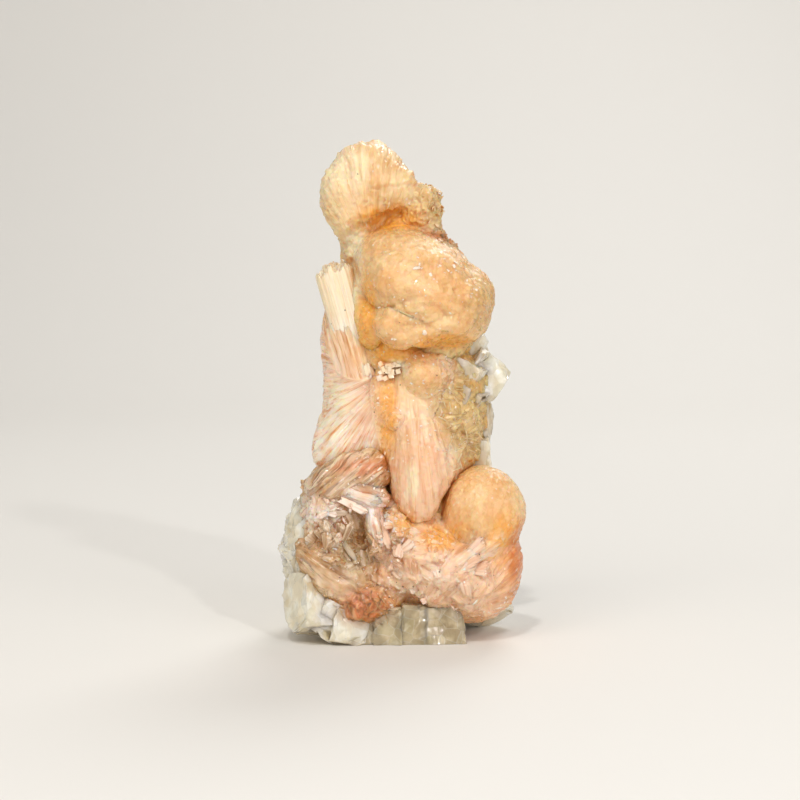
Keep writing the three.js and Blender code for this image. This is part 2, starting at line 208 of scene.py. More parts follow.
def smooth_step(share):
    """0 below 0, 1 above 1, and a soft slope between."""
    share = np.clip(share, 0, 1)
    return share * share * (3 - 2 * share)


def inside(points, middle, reach, ragged, soft=0.7):
    """1 well inside an egg-shaped zone, 0 outside, ragged and soft at its edge."""
    far = np.linalg.norm((points - np.array(middle)) / np.array(reach), axis=1)
    return smooth_step((1.15 - far + ragged) / soft)


# ---- meshes and pieces ----


def set_points(mesh, name, values):
    """One number or vector for each vertex, kept under a name."""
    kind, field = ("FLOAT", "value") if values.ndim == 1 else ("FLOAT_VECTOR", "vector")
    if name in mesh.attributes:
        mesh.attributes.remove(mesh.attributes[name])
    attribute = mesh.attributes.new(name, kind, "POINT")
    attribute.data.foreach_set(field, values.astype(np.float32).ravel())


def coordinates(mesh):
    """Where a mesh's vertices are, as they stand in it."""
    flat = np.empty(len(mesh.vertices) * 3)
    mesh.vertices.foreach_get("co", flat)
    return flat.reshape(-1, 3)


def points_of(mesh):
    """Where a finished mesh's vertices are, in the specimen's millimetres."""
    return coordinates(mesh) / MM + BOX_MIDDLE


def grounded(points):
    """The frame's metres for points in millimetres, none of them below the floor."""
    points = points.copy()
    points[:, 2] = np.maximum(points[:, 2], 0)
    return (points - BOX_MIDDLE) * MM


def set_tints(mesh):
    """How strongly each tint takes at each vertex."""
    points = points_of(mesh)
    ragged = 0.22 * swell(points, 5.0, 900)
    for tint, (_, _, zones) in TINTS.items():
        set_points(mesh, tint, np.max([inside(points, *zone, ragged) for zone in zones], axis=0))


def mesh_of(name, solid):
    """A smooth mesh from points in millimetres, faces that look outwards, grain and seams."""
    points, faces, grain, seam = solid
    mesh = bpy.data.meshes.new(name)
    mesh.from_pydata(grounded(points), [], faces)
    set_points(mesh, "grain", grain)
    set_points(mesh, "seam", seam)
    mesh.polygons.foreach_set("use_smooth", np.ones(len(mesh.polygons), bool))
    set_tints(mesh)
    return mesh


def placed(name, data):
    """An object of the scene that holds some data."""
    made = bpy.data.objects.new(name, data)
    bpy.context.scene.collection.objects.link(made)
    return made


def solved(holder):
    """The plain mesh that an object's modifiers make. The object itself goes."""
    holder.update_tag()
    graph = bpy.context.evaluated_depsgraph_get()
    mesh = bpy.data.meshes.new_from_object(holder.evaluated_get(graph))
    bpy.data.objects.remove(holder)
    return mesh


def show(name, mesh, material):
    """A finished piece of the specimen."""
    piece = placed(name, mesh)
    mesh.materials.clear()
    mesh.materials.append(material)
    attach(piece, "root")
    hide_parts(NODE)
    return piece


def turn_to(axis):
    """The rotation that takes +Z to `axis`, as a 3 by 3 array."""
    return np.array(Vector(UP).rotation_difference(Vector(axis)).to_matrix())


def turned(degrees):
    """A rotation about X, then Y, then Z, as a 3 by 3 array."""
    return np.array(Euler([math.radians(d) for d in degrees], "XYZ").to_matrix())


# ---- round forms: balls, eggs, clubs and lumps ----


@functools.cache
def globe(level):
    """Even rays all round and the triangles between them."""
    ball = bmesh.new()
    bmesh.ops.create_icosphere(ball, subdivisions=level, radius=1)
    rays = np.array([v.co for v in ball.verts])
    faces = [[v.index for v in f.verts] for f in ball.faces]
    ball.free()
    return unit(rays), faces


def lobe_reach(rays, middle, radii, roll):
    """How far each ray reaches to the outside of an egg-shaped lobe, and 0 where it misses."""
    turn = turned((0, roll, 0))
    ray = (rays @ turn) / np.asarray(radii, float)
    at = (np.asarray(middle) @ turn) / np.asarray(radii, float)
    a = (ray**2).sum(1)
    b = ray @ at
    room = b * b - a * (at @ at - 1)
    return np.where(room > 0, (b + np.sqrt(np.maximum(room, 0))) / a, 0)


def form(centre, radii, look, skin, axis=UP, waist=None, lobes=(), pads=(), dents=(), soft=0.12,
         flat=False):
    """A ball or egg with lobes and pads on it, as the measures that it is made from.

    Lobes are (middle from the centre, radii, roll). Pads and dents lie on the front: (right, up,
    width, height, roll, how far they stand proud or go in). `skin` gives heights on its surface,
    `waist` is where its fibres start, and they lie along the front if it is `flat`.
    """
    centre = np.asarray(centre, float)
    return SimpleNamespace(
        centre=centre, radii=radii, look=look, skin=skin, axis=axis, lobes=lobes, pads=pads,
        dents=dents, soft=soft, flat=flat, waist=centre if waist is None else np.asarray(waist, float),
    )


def reach_along(rays, shape):
    """How far a round form reaches along rays from its centre."""
    own = rays @ turn_to(shape.axis)
    a, b, c = shape.radii
    across = (own[:, 0] / a) ** 2 + (own[:, 1] / b) ** 2
    reaches = [1 / np.sqrt(across + (own[:, 2] / c) ** 2)]
    for lobe in shape.lobes:
        reaches.append(lobe_reach(rays, *lobe))
    for right, up, wide, tall, roll, proud in shape.pads:
        spot = np.array([right, 0, up]) @ turn_to(shape.axis)
        front = -b * math.sqrt(max(0.0, 1 - (spot[0] / a) ** 2 - (spot[2] / c) ** 2))
        deep = 0.38 * (wide + tall)
        reaches.append(lobe_reach(rays, (right, front - proud + deep, up), (wide, deep, tall), roll))
    reaches = np.array(reaches)
    most = reaches.max(0)
    reach = most + shape.soft * np.log(np.exp((reaches - most) / shape.soft).sum(0))
    for right, up, wide, tall, roll, deep in shape.dents:
        x, z = (rays[:, [0, 2]] * reach[:, None] - (right, up)).T
        lean = math.radians(roll)
        along = (x * math.cos(lean) - z * math.sin(lean)) / wide
        over = (x * math.sin(lean) + z * math.cos(lean)) / tall
        share = smooth_step(1.25 * (1 - np.hypot(along, over)))
        reach = reach - deep * share * smooth_step(-rays[:, 1] / 0.3)
    return reach


def beyond(points, shape):
    """How far points lie outside a round form, along rays from its centre."""
    way = points - shape.centre
    far = np.linalg.norm(way, axis=1)
    return far - reach_along(way / far[:, None], shape)


def eased(points, pairs, rounds):
    """Points moved a little towards their neighbours, a few times over."""
    first, second = pairs.T
    many = len(points)
    count = np.bincount(pairs.ravel(), minlength=many)[:, None]
    for _ in range(rounds):
        total = np.stack([
            np.bincount(first, points[second, k], many) + np.bincount(second, points[first, k], many)
            for k in range(3)
        ], axis=1)
        points = points + 0.5 * (total / count - points)
    return points


def shares(away, soft):
    """How much each form counts at each point, most for the nearest."""
    weight = np.exp(-(away - away.min(0)) / soft)
    weight = weight / weight.sum(0)
    weight[weight < 0.03] = 0
    return weight / weight.sum(0)


def melted(name, shapes):
    """Round forms as one closed, eased mesh in millimetres, with its points and normals."""
    rays, faces = globe(5)
    points, polygons = [], []
    for index, shape in enumerate(shapes):
        points.append(shape.centre + rays * reach_along(rays, shape)[:, None])
        polygons += [[v + index * len(rays) for v in face] for face in faces]
    rough = bpy.data.meshes.new(name)
    rough.from_pydata(np.concatenate(points), [], polygons)
    holder = placed(name, rough)
    melt = holder.modifiers.new("melt", "REMESH")
    melt.mode = "VOXEL"
    melt.voxel_size = VOXEL
    mesh = solved(holder)
    pairs = np.empty(len(mesh.edges) * 2, np.int32)
    mesh.edges.foreach_get("vertices", pairs)
    points = eased(coordinates(mesh), pairs.reshape(-1, 2), 5)
    mesh.vertices.foreach_set("co", points.ravel())
    mesh.update()
    normals = np.empty(len(mesh.vertices) * 3)
    mesh.vertex_normals.foreach_get("vector", normals)
    return mesh, points, normals.reshape(-1, 3)


def fused(name, shapes, material, fillet=2.6):
    """Round forms grown into one another: one closed skin, soft where two of them meet."""
    mesh, points, normals = melted(name, shapes)
    away = np.array([beyond(points, shape) for shape in shapes])
    nearest = away.argmin(0)
    closest, next_one = np.sort(away, axis=0)[:2]
    meet = np.clip(1 - (next_one - closest) / fillet, 0, 1) ** 2
    weight = shares(away, 0.5)
    relief, seam, grain = np.zeros(len(points)), np.zeros(len(points)), np.zeros_like(points)
    for index, shape in enumerate(shapes):
        here = np.nonzero(weight[index])[0]
        if len(here) == 0:
            continue
        spots = points[here]
        found = shape.skin(spots)
        if not isinstance(found, tuple):
            lie = flat_grain if shape.flat else grain_from
            found = found, lie(spots, shape.waist), np.zeros(len(spots))
        relief[here] += weight[index][here] * found[0]
        seam[here] += weight[index][here] * found[2]
        own = nearest[here] == index
        grain[here[own]] = found[1][own]
    points = points + normals * (relief + meet * fillet / 4)[:, None]
    mesh.vertices.foreach_set("co", grounded(points).ravel())
    mesh.update()
    mesh.polygons.foreach_set("use_smooth", np.ones(len(mesh.polygons), bool))
    weight = shares(away, 1.1)
    for key, kind in enumerate(TONES):
        set_points(mesh, kind, weight.T @ np.array([colour(LOOKS[s.look][key])[:3] for s in shapes]))
    for key, kind in enumerate(LEVELS, len(TONES)):
        set_points(mesh, kind, weight.T @ np.array([LOOKS[s.look][key] for s in shapes]))
    set_points(mesh, "grain", grain)
    set_points(mesh, "seam", np.maximum(seam, smooth_step(1 - (next_one - closest) / 0.5)))
    set_tints(mesh)
    return show(name, mesh, material)


def lone(name, shape, material):
    """A round form as a piece of its own."""
    rays, faces = globe(6)
    points = shape.centre + rays * reach_along(rays, shape)[:, None]
    relief, grain, seam = shape.skin(points)
    show(name, mesh_of(name, (points + rays * relief[:, None], faces, grain, seam)), material)


# ---- the skins of the forms: height, and for some the grain and the seams ----


def grain_from(points, waist):
    """Coordinates in millimetres that hardly change along fibres that start at `waist`."""
    way = points - np.asarray(waist, float)
    far = np.linalg.norm(way, axis=1, keepdims=True)
    return unit(way) * (0.93 * np.median(far) + 0.07 * far)


def flat_grain(points, waist):
    """The same for fibres that lie along the front: they spread from a waist, seen from there."""
    x, y, z = (points - np.asarray(waist, float)).T
    far = np.hypot(x, z)
    mean = np.array([x.mean(), z.mean()])
    mean = mean / np.hypot(*mean)
    turn = np.arctan2(x * mean[1] - z * mean[0], x * mean[0] + z * mean[1])
    return np.stack([turn * np.median(far), y * 0.25, far * 0.07], axis=1)


def waxy_skin(wave, grain, size, seed):
    """A soft skin: long waves and a faint pavement of crystal ends."""
    return lambda p: wave * swell(p, 4.2, seed, 2) + grain * facets(p, size, seed + 30)


def broken_skin(wave, plates, patch, width, length, seed):
    """Broken plates and laths that lie one way within each patch, with steps between them."""

    def skin(p):
        home, away, border = grains(p / patch, seed)
        edge = smooth_step(1 - border * patch / 0.45)
        way = unit(slopes(home, seed + 1))
        lean = slopes(home, seed + 4)
        far = (p * way).sum(1)[:, None]
        side = p - far * way
        shift = scramble(home, seed + 7)[:, None] * 40
        lath, across, _ = grains(side / width + far * way / length + shift, seed + 8)
        tilt = slopes(lath, seed + 9)
        step = scramble(lath, seed + 12) - 0.5
        small = 0.55 * width * ((across * tilt).sum(1) * 1.6 + 0.6 * step)
        large = patch * ((away * lean).sum(1) * 0.7 + 0.16 * (scramble(home, seed + 13) - 0.5))
        relief = wave * swell(p, 7.0, seed + 14, 3) + plates * (small + large * (1 - 0.8 * edge))
        return relief, side + far * way * 0.07 + shift, edge

    return skin


def fan_skin(waist, plates, wave, wide, seed):
    """Long plates and fine laths that run down the front from a waist, each a step from the next."""

    def skin(p):
        grain = flat_grain(p, waist)
        plate, across, _ = grains(grain / (wide, 1.2, 0.6), seed)
        tilt = scramble(plate, seed + 1) - 0.5
        step = scramble(plate, seed + 4) - 0.5
        laths = ripple(grain / 0.9, seed + 5) + 0.6 * ripple(grain / 0.45, seed + 6)
        steps = plates * (0.5 * across[:, 0] * tilt + 0.5 * step)
        return steps + 0.1 * laths + wave * swell(p, 6.5, seed + 7, 3), grain, np.zeros(len(p))

    return skin


# ---- sheaves: laths that fan out from a waist ----


def bundle(
    waist, axis, facing, length, spread, depth, laths, seed, ragged=0.06, round_end=0.1,
    relief=0.05, start=0.0, boxy=4.0, columns=260, rows=46, cap_rows=26,
):
    """Laths that fan out from a waist as one closed form: points, quads, grain and seams.

    Spread and depth are half angles in degrees, across and through the sheaf, and `laths` is how
    many there are each way.
    """
    waist = np.asarray(waist, float)
    along = unit(np.asarray(axis, float))
    side = unit(np.cross(along, facing))
    front = np.cross(side, along)
    wide, thick = math.tan(math.radians(spread)), math.tan(math.radians(depth))
    angle = np.arange(columns) / columns * 2 * math.pi
    edge = (np.abs(np.cos(angle)) ** boxy + np.abs(np.sin(angle)) ** boxy) ** (-1 / boxy)
    rim = np.stack([np.cos(angle) * edge, np.sin(angle) * edge], axis=1)
    inward = np.concatenate([np.ones(rows), np.linspace(1, 0, cap_rows + 1)[1:]])
    outward = np.concatenate([np.linspace(start, 1, rows + 1)[1:], np.ones(cap_rows)])
    u, w = (rim[None] * inward[:, None, None]).reshape(-1, 2).T
    share = np.repeat(outward, columns)
    spots = np.stack([u * laths[0] / 2, w * laths[1] / 2, np.zeros_like(u)], axis=1)
    home, _, gap = grains(spots, seed)
    seam = smooth_step(1 - gap / 0.22)
    plate, lean_in, crack = grains(spots / (5, 2.2, 1), seed + 3)
    own = 0.4 * scramble(home, seed + 5) + 0.6 * scramble(plate, seed + 4)
    end = 1 - round_end * u**2 - 0.5 * round_end * w**2 - ragged * own
    step = 2 * scramble(plate, seed + 8) - 1 + 1.2 * lean_in[:, 0] - 0.7 * smooth_step(1 - crack / 0.1)
    fat = 1 + relief * (step + 0.4 * scramble(home, seed + 6) - 0.45 * seam)
    swing, lean = wide * u * fat, thick * w * fat
    points = unit(along + swing[:, None] * side + lean[:, None] * front)
    points = points * (share * length * end)[:, None]
    grain = np.stack([u * length * wide, w * length * thick, share * length * 0.06], axis=1)
    grain = grain + seed * 7.3
    points = np.concatenate([[waist + along * start * length * 0.96], waist + points])
    grain = np.concatenate([grain[:1], grain])
    seam = np.concatenate([[0.0], 0.2 * seam])
    here = np.arange(columns) + 1
    after = np.roll(here, -1)
    last = (rows + cap_rows - 2) * columns  # the ring round the tip
    tip = last + columns + 1
    faces = [[0, a, b] for a, b in zip(here.tolist(), after.tolist())]
    for low in range(0, last, columns):
        high = low + columns
        faces += np.stack([low + here, high + here, high + after, low + after], axis=1).tolist()
    faces += [[last + a, tip, last + b] for a, b in zip(here.tolist(), after.tolist())]
    return points[: tip + 1], faces, grain[: tip + 1], seam[: tip + 1]


def sheaf(name, material, *measures, **shape):
    """A bundle of laths as a finished piece."""
    return show(name, mesh_of(name, bundle(*measures, **shape)), material)


# ---- flat-faced crystals ----


def in_order(name, work):
    """A mesh whose corners and faces come in the same order each run, as they don't in `work`."""
    corners = sorted(tuple(v.co) for v in work.verts)
    number = {corner: k for k, corner in enumerate(corners)}
    faces = []
    for face in work.faces:
        around = [number[tuple(v.co)] for v in face.verts]
        first = around.index(min(around))
        faces.append(around[first:] + around[:first])
    work.free()
    mesh = bpy.data.meshes.new(name)
    mesh.from_pydata(corners, [], sorted(faces))
    return mesh


def hull_mesh(name, corners, bevel, cuts=0):
    """A flat-faced crystal round some corners, with a narrow edge, cut finely enough to wear."""
    work = bmesh.new()
    for corner in corners:
        work.verts.new(corner)
    hull = bmesh.ops.convex_hull(work, input=work.verts)
    loose = {v for v in hull["geom_interior"] + hull["geom_unused"] if isinstance(v, bmesh.types.BMVert)}
    bmesh.ops.delete(work, geom=list(loose), context="VERTS")
    bmesh.ops.dissolve_limit(work, angle_limit=math.radians(1), verts=work.verts, edges=work.edges)
    if bevel:
        bmesh.ops.bevel(work, geom=work.edges[:], offset=bevel, segments=2, profile=0.5, affect="EDGES")
    bmesh.ops.triangulate(work, faces=work.faces)
    for _ in range(cuts):
        bmesh.ops.subdivide_edges(work, edges=work.edges[:], cuts=1, use_grid_fill=True)
    bmesh.ops.recalc_face_normals(work, faces=work.faces)
    return in_order(name, work)


def box_corners(size, trim, random):
    """The corners of a slightly uneven block whose own corners are cut off."""
    corners = []
    for signs in np.ndindex(2, 2, 2):
        s = np.array(signs) * 2.0 - 1
        for k in range(3):
            corner = s * size / 2
            corner[k] -= s[k] * size[k] * trim * random.uniform(0.5, 1.5)
            corners.append(corner + random.normal(0, 0.012, 3) * size)
    return np.array(corners)


def joined(name, parts, worn, seed):
    """Several crystals in the specimen's millimetres as one mesh, with uneven faces."""
    points, faces, grain = [], [], []
    count = 0
    for mesh, turn, centre in parts:
        own = coordinates(mesh)
        spots = own @ turn.T + centre
        relief = worn * (swell(spots, 2.4, seed + 3, 3) + 1.6 * facets(spots, 2.6, seed + 4))
        points.append(spots + unit(own) @ turn.T * relief[:, None])
        grain.append(own * (1, 1, 0.2) + count * 0.37)
        faces += [[v + count for v in p.vertices] for p in mesh.polygons]
        count += len(own)
    mesh = mesh_of(name, (np.concatenate(points), faces, np.concatenate(grain), np.zeros(count)))
    mesh.set_sharp_from_angle(angle=math.radians(18))
    return mesh


def blocks(name, material, seed, table, trim=0.2, bevel=0.12, worn=0.16, cuts=2):
    """Intergrown block crystals from (centre, size, turn in degrees)."""
    random = np.random.default_rng(seed)
    parts = []
    for centre, size, turn in table:
        corners = box_corners(np.array(size, float), trim, random)
        parts.append((hull_mesh(name, corners, bevel, cuts), turned(turn), np.array(centre)))
    show(name, joined(name, parts, worn, seed), material)


# ---- nodes ----

HALF = (0.5, 0.5, 0.5)


def add(tree, kind, inputs=(), **settings):
    """A node with its settings, and what goes into it: values, sockets or nodes' first outputs."""
    made = tree.nodes.new(kind)
    for name, value in settings.items():
        setattr(made, name, value)
    for key, value in dict(inputs).items():
        if isinstance(value, bpy.types.Node):
            value = value.outputs[0]
        if isinstance(value, bpy.types.NodeSocket):
            tree.links.new(value, made.inputs[key])
        else:
            made.inputs[key].default_value = value
    return made


def amount(tree, value, span=None, ends=(0, 1), factors=()):
    """A number made from another: moved softly from a span to its ends, then multiplied."""
    if span:
        inputs = dict(enumerate((value, *span, *ends)))
        value = add(tree, "ShaderNodeMapRange", inputs, interpolation_type="SMOOTHSTEP")
    for factor in factors:
        value = add(tree, "ShaderNodeMath", {0: value, 1: factor}, operation="MULTIPLY")
    return value


# ---- crusts of small crystals ----

CRUST_INPUTS = {
    "Surface": "Geometry", "Crystal": "Object", "Density": "Float", "Size": "Float", "Length": "Float",
    "Stand": "Float", "Drift": "Float", "Spread": "Float", "Lay": "Float", "Patch": "Float",
    "Seed": "Int", "Finish": "Material",
}


def crust_tree():
    """Small crystals on a surface, which lean the way their neighbours do."""
    tree = bpy.data.node_groups.new("crust of small crystals", "GeometryNodeTree")
    for name, kind in CRUST_INPUTS.items():
        tree.interface.new_socket(name=name, in_out="INPUT", socket_type="NodeSocket" + kind)
    tree.interface.new_socket(name="Crust", in_out="OUTPUT", socket_type="NodeSocketGeometry")
    given = add(tree, "NodeGroupInput").outputs
    grow = add(tree, "GeometryNodeInputNamedAttribute", {"Name": "grow"}, data_type="FLOAT")
    density = amount(tree, grow, factors=[given["Density"]])
    spots = add(
        tree, "GeometryNodeDistributePointsOnFaces",
        {"Mesh": given["Surface"], "Density": density, "Seed": given["Seed"]},
    )
    place = add(tree, "GeometryNodeInputPosition")
    field = {"Vector": place, "Scale": given["Patch"], "Detail": 0.5, "W": 3.1}
    field = add(tree, "ShaderNodeTexNoise", field, noise_dimensions="4D").outputs["Color"]
    drift = add(tree, "ShaderNodeVectorMath", {0: field, 1: HALF}, operation="SUBTRACT")
    loose = {0: (-1, -1, -1), 1: (1, 1, 1), "Seed": given["Seed"]}
    loose = add(tree, "FunctionNodeRandomValue", loose, data_type="FLOAT_VECTOR")
    way = (0, 0, 0)
    for part, strength in ((drift, "Drift"), (spots.outputs["Normal"], "Stand"), (loose, "Spread")):
        part = add(tree, "ShaderNodeVectorMath", {0: part, "Scale": given[strength]}, operation="SCALE")
        way = add(tree, "ShaderNodeVectorMath", {0: way, 1: part}, operation="ADD")
    aimed = add(tree, "FunctionNodeAlignRotationToVector", {"Vector": way}, axis="Z")
    laid = {"Rotation": aimed, "Factor": given["Lay"], "Vector": spots.outputs["Normal"]}
    laid = add(tree, "FunctionNodeAlignRotationToVector", laid, axis="Y", pivot_axis="Z")
    angle, chance = (
        add(tree, "FunctionNodeRandomValue", {2: least, 3: most, "Seed": seed}, data_type="FLOAT").outputs[1]
        for least, most, seed in ((-0.5, 0.5, 7), (0.45, 1.3, 11))
    )
    spin = add(tree, "FunctionNodeAxisAngleToRotation", {"Axis": (0, 0, 1), "Angle": angle})
    rotation = {"Rotation": laid, "Rotate By": spin}
    rotation = add(tree, "FunctionNodeRotateRotation", rotation, rotation_space="LOCAL")
    size = amount(tree, chance, factors=[given["Size"]])
    tall = amount(tree, size, factors=[given["Length"]])
    scale = add(tree, "ShaderNodeCombineXYZ", {0: size, 1: size, 2: tall})
    crystal = add(tree, "GeometryNodeObjectInfo", {"Object": given["Crystal"]}).outputs["Geometry"]
    grown_on = {"Points": spots, "Instance": crystal, "Rotation": rotation, "Scale": scale}
    real = add(tree, "GeometryNodeRealizeInstances", {
        "Geometry": add(tree, "GeometryNodeInstanceOnPoints", grown_on),
    })
    done = add(tree, "GeometryNodeSetMaterial", {"Geometry": real, "Material": given["Finish"]})
    add(tree, "NodeGroupOutput", {0: done})
    return tree


CRUST_TREE = crust_tree()


def crust(name, on, zones, crystal, material, density, size, length, stand, drift, spread, patch,
          seed, lay=1.0, slot="stilbite"):
    """Small crystals on some pieces inside some zones. Density is a count for each square cm."""
    work = bmesh.new()
    for piece in on:
        work.from_mesh(piece.data)
    ground = bpy.data.meshes.new(name)
    work.to_mesh(ground)
    work.free()
    points = points_of(ground)
    set_points(ground, "grow", np.max([inside(points, *zone, 0, 0.4) for zone in zones], axis=0))
    holder = placed(name, ground)
    modifier = holder.modifiers.new("crust", "NODES")
    modifier.node_group = CRUST_TREE
    chosen = {
        "Crystal": crystal, "Density": density * 1e4, "Size": size * MM, "Length": length,
        "Stand": stand, "Drift": drift, "Spread": spread, "Patch": 1 / (patch * MM), "Lay": lay,
        "Seed": seed, "Finish": material,
    }
    for socket in CRUST_TREE.interface.items_tree:
        if socket.name in chosen:
            modifier[socket.identifier] = chosen[socket.name]
    mesh = solved(holder)
    mesh.vertices.foreach_set("co", grounded(points_of(mesh)).ravel())
    set_tints(mesh)
    mesh.name = name
    show(name, mesh, material)


def to_repeat(name, mesh, grain, seam):
    """A small crystal one unit tall, as a shape for the crusts."""
    set_points(mesh, "grain", grain)
    set_points(mesh, "seam", seam)
    return bpy.data.objects.new(name, mesh)


def seed_crystal(name, corners):
    """A small flat-faced crystal from its corners."""
    mesh = hull_mesh(name, corners, 0.0)
    return to_repeat(name, mesh, coordinates(mesh) * (2.4, 2.4, 0.4), np.zeros(len(mesh.vertices)))


def seed_plate(name, seed):
    """A small broken plate of laths."""
    points, faces, grain, seam = bundle(
        (0, 0, -1.8), UP, FRONT, 2.8, 8.5, 2.4, (8, 2), seed, ragged=0.12, relief=0.1,
        round_end=0.04, start=0.6, columns=30, rows=4, cap_rows=4,
    )
    mesh = bpy.data.meshes.new(name)
    mesh.from_pydata(points, [], faces)
    return to_repeat(name, mesh, grain * 2.6, seam)


PLATE = seed_plate("plate", 201)
LATH = seed_crystal("lath", [
    (x, y, z) for x, z in ((-0.5, -0.2), (0.5, -0.2), (0.5, 0.8), (0.2, 1), (-0.2, 0.93), (-0.5, 0.74))
    for y in (-0.13, 0.13)
])
NEEDLE = seed_crystal("needle", [
    (0.5 * math.cos(a), 0.42 * math.sin(a), z) for a in (0.4, 1.8, 3.3, 4.9) for z in (-0.1, 0.93)
] + [(0.05, 0, 1)])
GRAIN = seed_crystal("grain", [
    (x * 0.5, y * 0.38, z) for x in (-1, 1) for y in (-1, 1) for z in (-0.3, 0.62)
] + [(0.2, 0.1, 1), (-0.25, -0.05, 0.88)])
BLOCK = seed_crystal("block", [
    (x, y, z) for x, y in ((-0.5, -0.3), (-0.3, -0.5), (0.3, -0.5), (0.5, -0.3),
                           (0.5, 0.3), (0.3, 0.5), (-0.3, 0.5), (-0.5, 0.3)) for z in (-0.4, 0.55)
] + [(x, y, 0.8) for x, y in ((0.28, 0.28), (-0.28, 0.28), (0.28, -0.28), (-0.28, -0.28))])


# ---- materials ----


def new_material(name):
    """An empty material and its tree."""
    material = bpy.data.materials.new(name)
    material.use_nodes = True
    material.node_tree.nodes.clear()
    return material, material.node_tree


def surfaced(tree, settings, **more):
    """The surface shader and the output that it goes to."""
    surface = add(tree, "ShaderNodeBsdfPrincipled", settings)
    add(tree, "ShaderNodeOutputMaterial", {"Surface": surface, **more})


def kept(tree, name, output="Fac"):
    """What each vertex keeps under a name."""
    return add(tree, "ShaderNodeAttribute", attribute_name=name).outputs[output]


def painted(tree, base, layers):
    """A base colour with others laid over it, each as strong as its share."""
    for tone, share in layers:
        base = add(tree, "ShaderNodeMix", {0: share, 6: base, 7: tone}, data_type="RGBA").outputs[2]
    return base


def chances(tree, cells):
    """Three random numbers for each cell of a texture."""
    return add(tree, "ShaderNodeSeparateColor", {0: cells.outputs["Color"]}).outputs


def slope_of(tree, cells):
    """A random slope for each cell of a texture."""
    inputs = {0: cells.outputs["Color"], 1: HALF}
    return add(tree, "ShaderNodeVectorMath", inputs, operation="SUBTRACT")


def tilted(tree, place, cells, factor):
    """Heights of flat facets, one for each cell, each with its own slope."""
    offset = {0: place, 1: cells.outputs["Position"]}
    offset = add(tree, "ShaderNodeVectorMath", offset, operation="SUBTRACT")
    inputs = {0: offset, 1: slope_of(tree, cells)}
    height = add(tree, "ShaderNodeVectorMath", inputs, operation="DOT_PRODUCT")
    return amount(tree, height.outputs["Value"], factors=[factor])


def bumped(tree, layers):
    """Bumps over one another, from (strength, depth in mm, height)."""
    below = {}
    for strength, depth, height in layers:
        inputs = {"Strength": strength, "Distance": depth * MM, "Height": height, **below}
        below = {"Normal": add(tree, "ShaderNodeBump", inputs)}
    return below["Normal"]


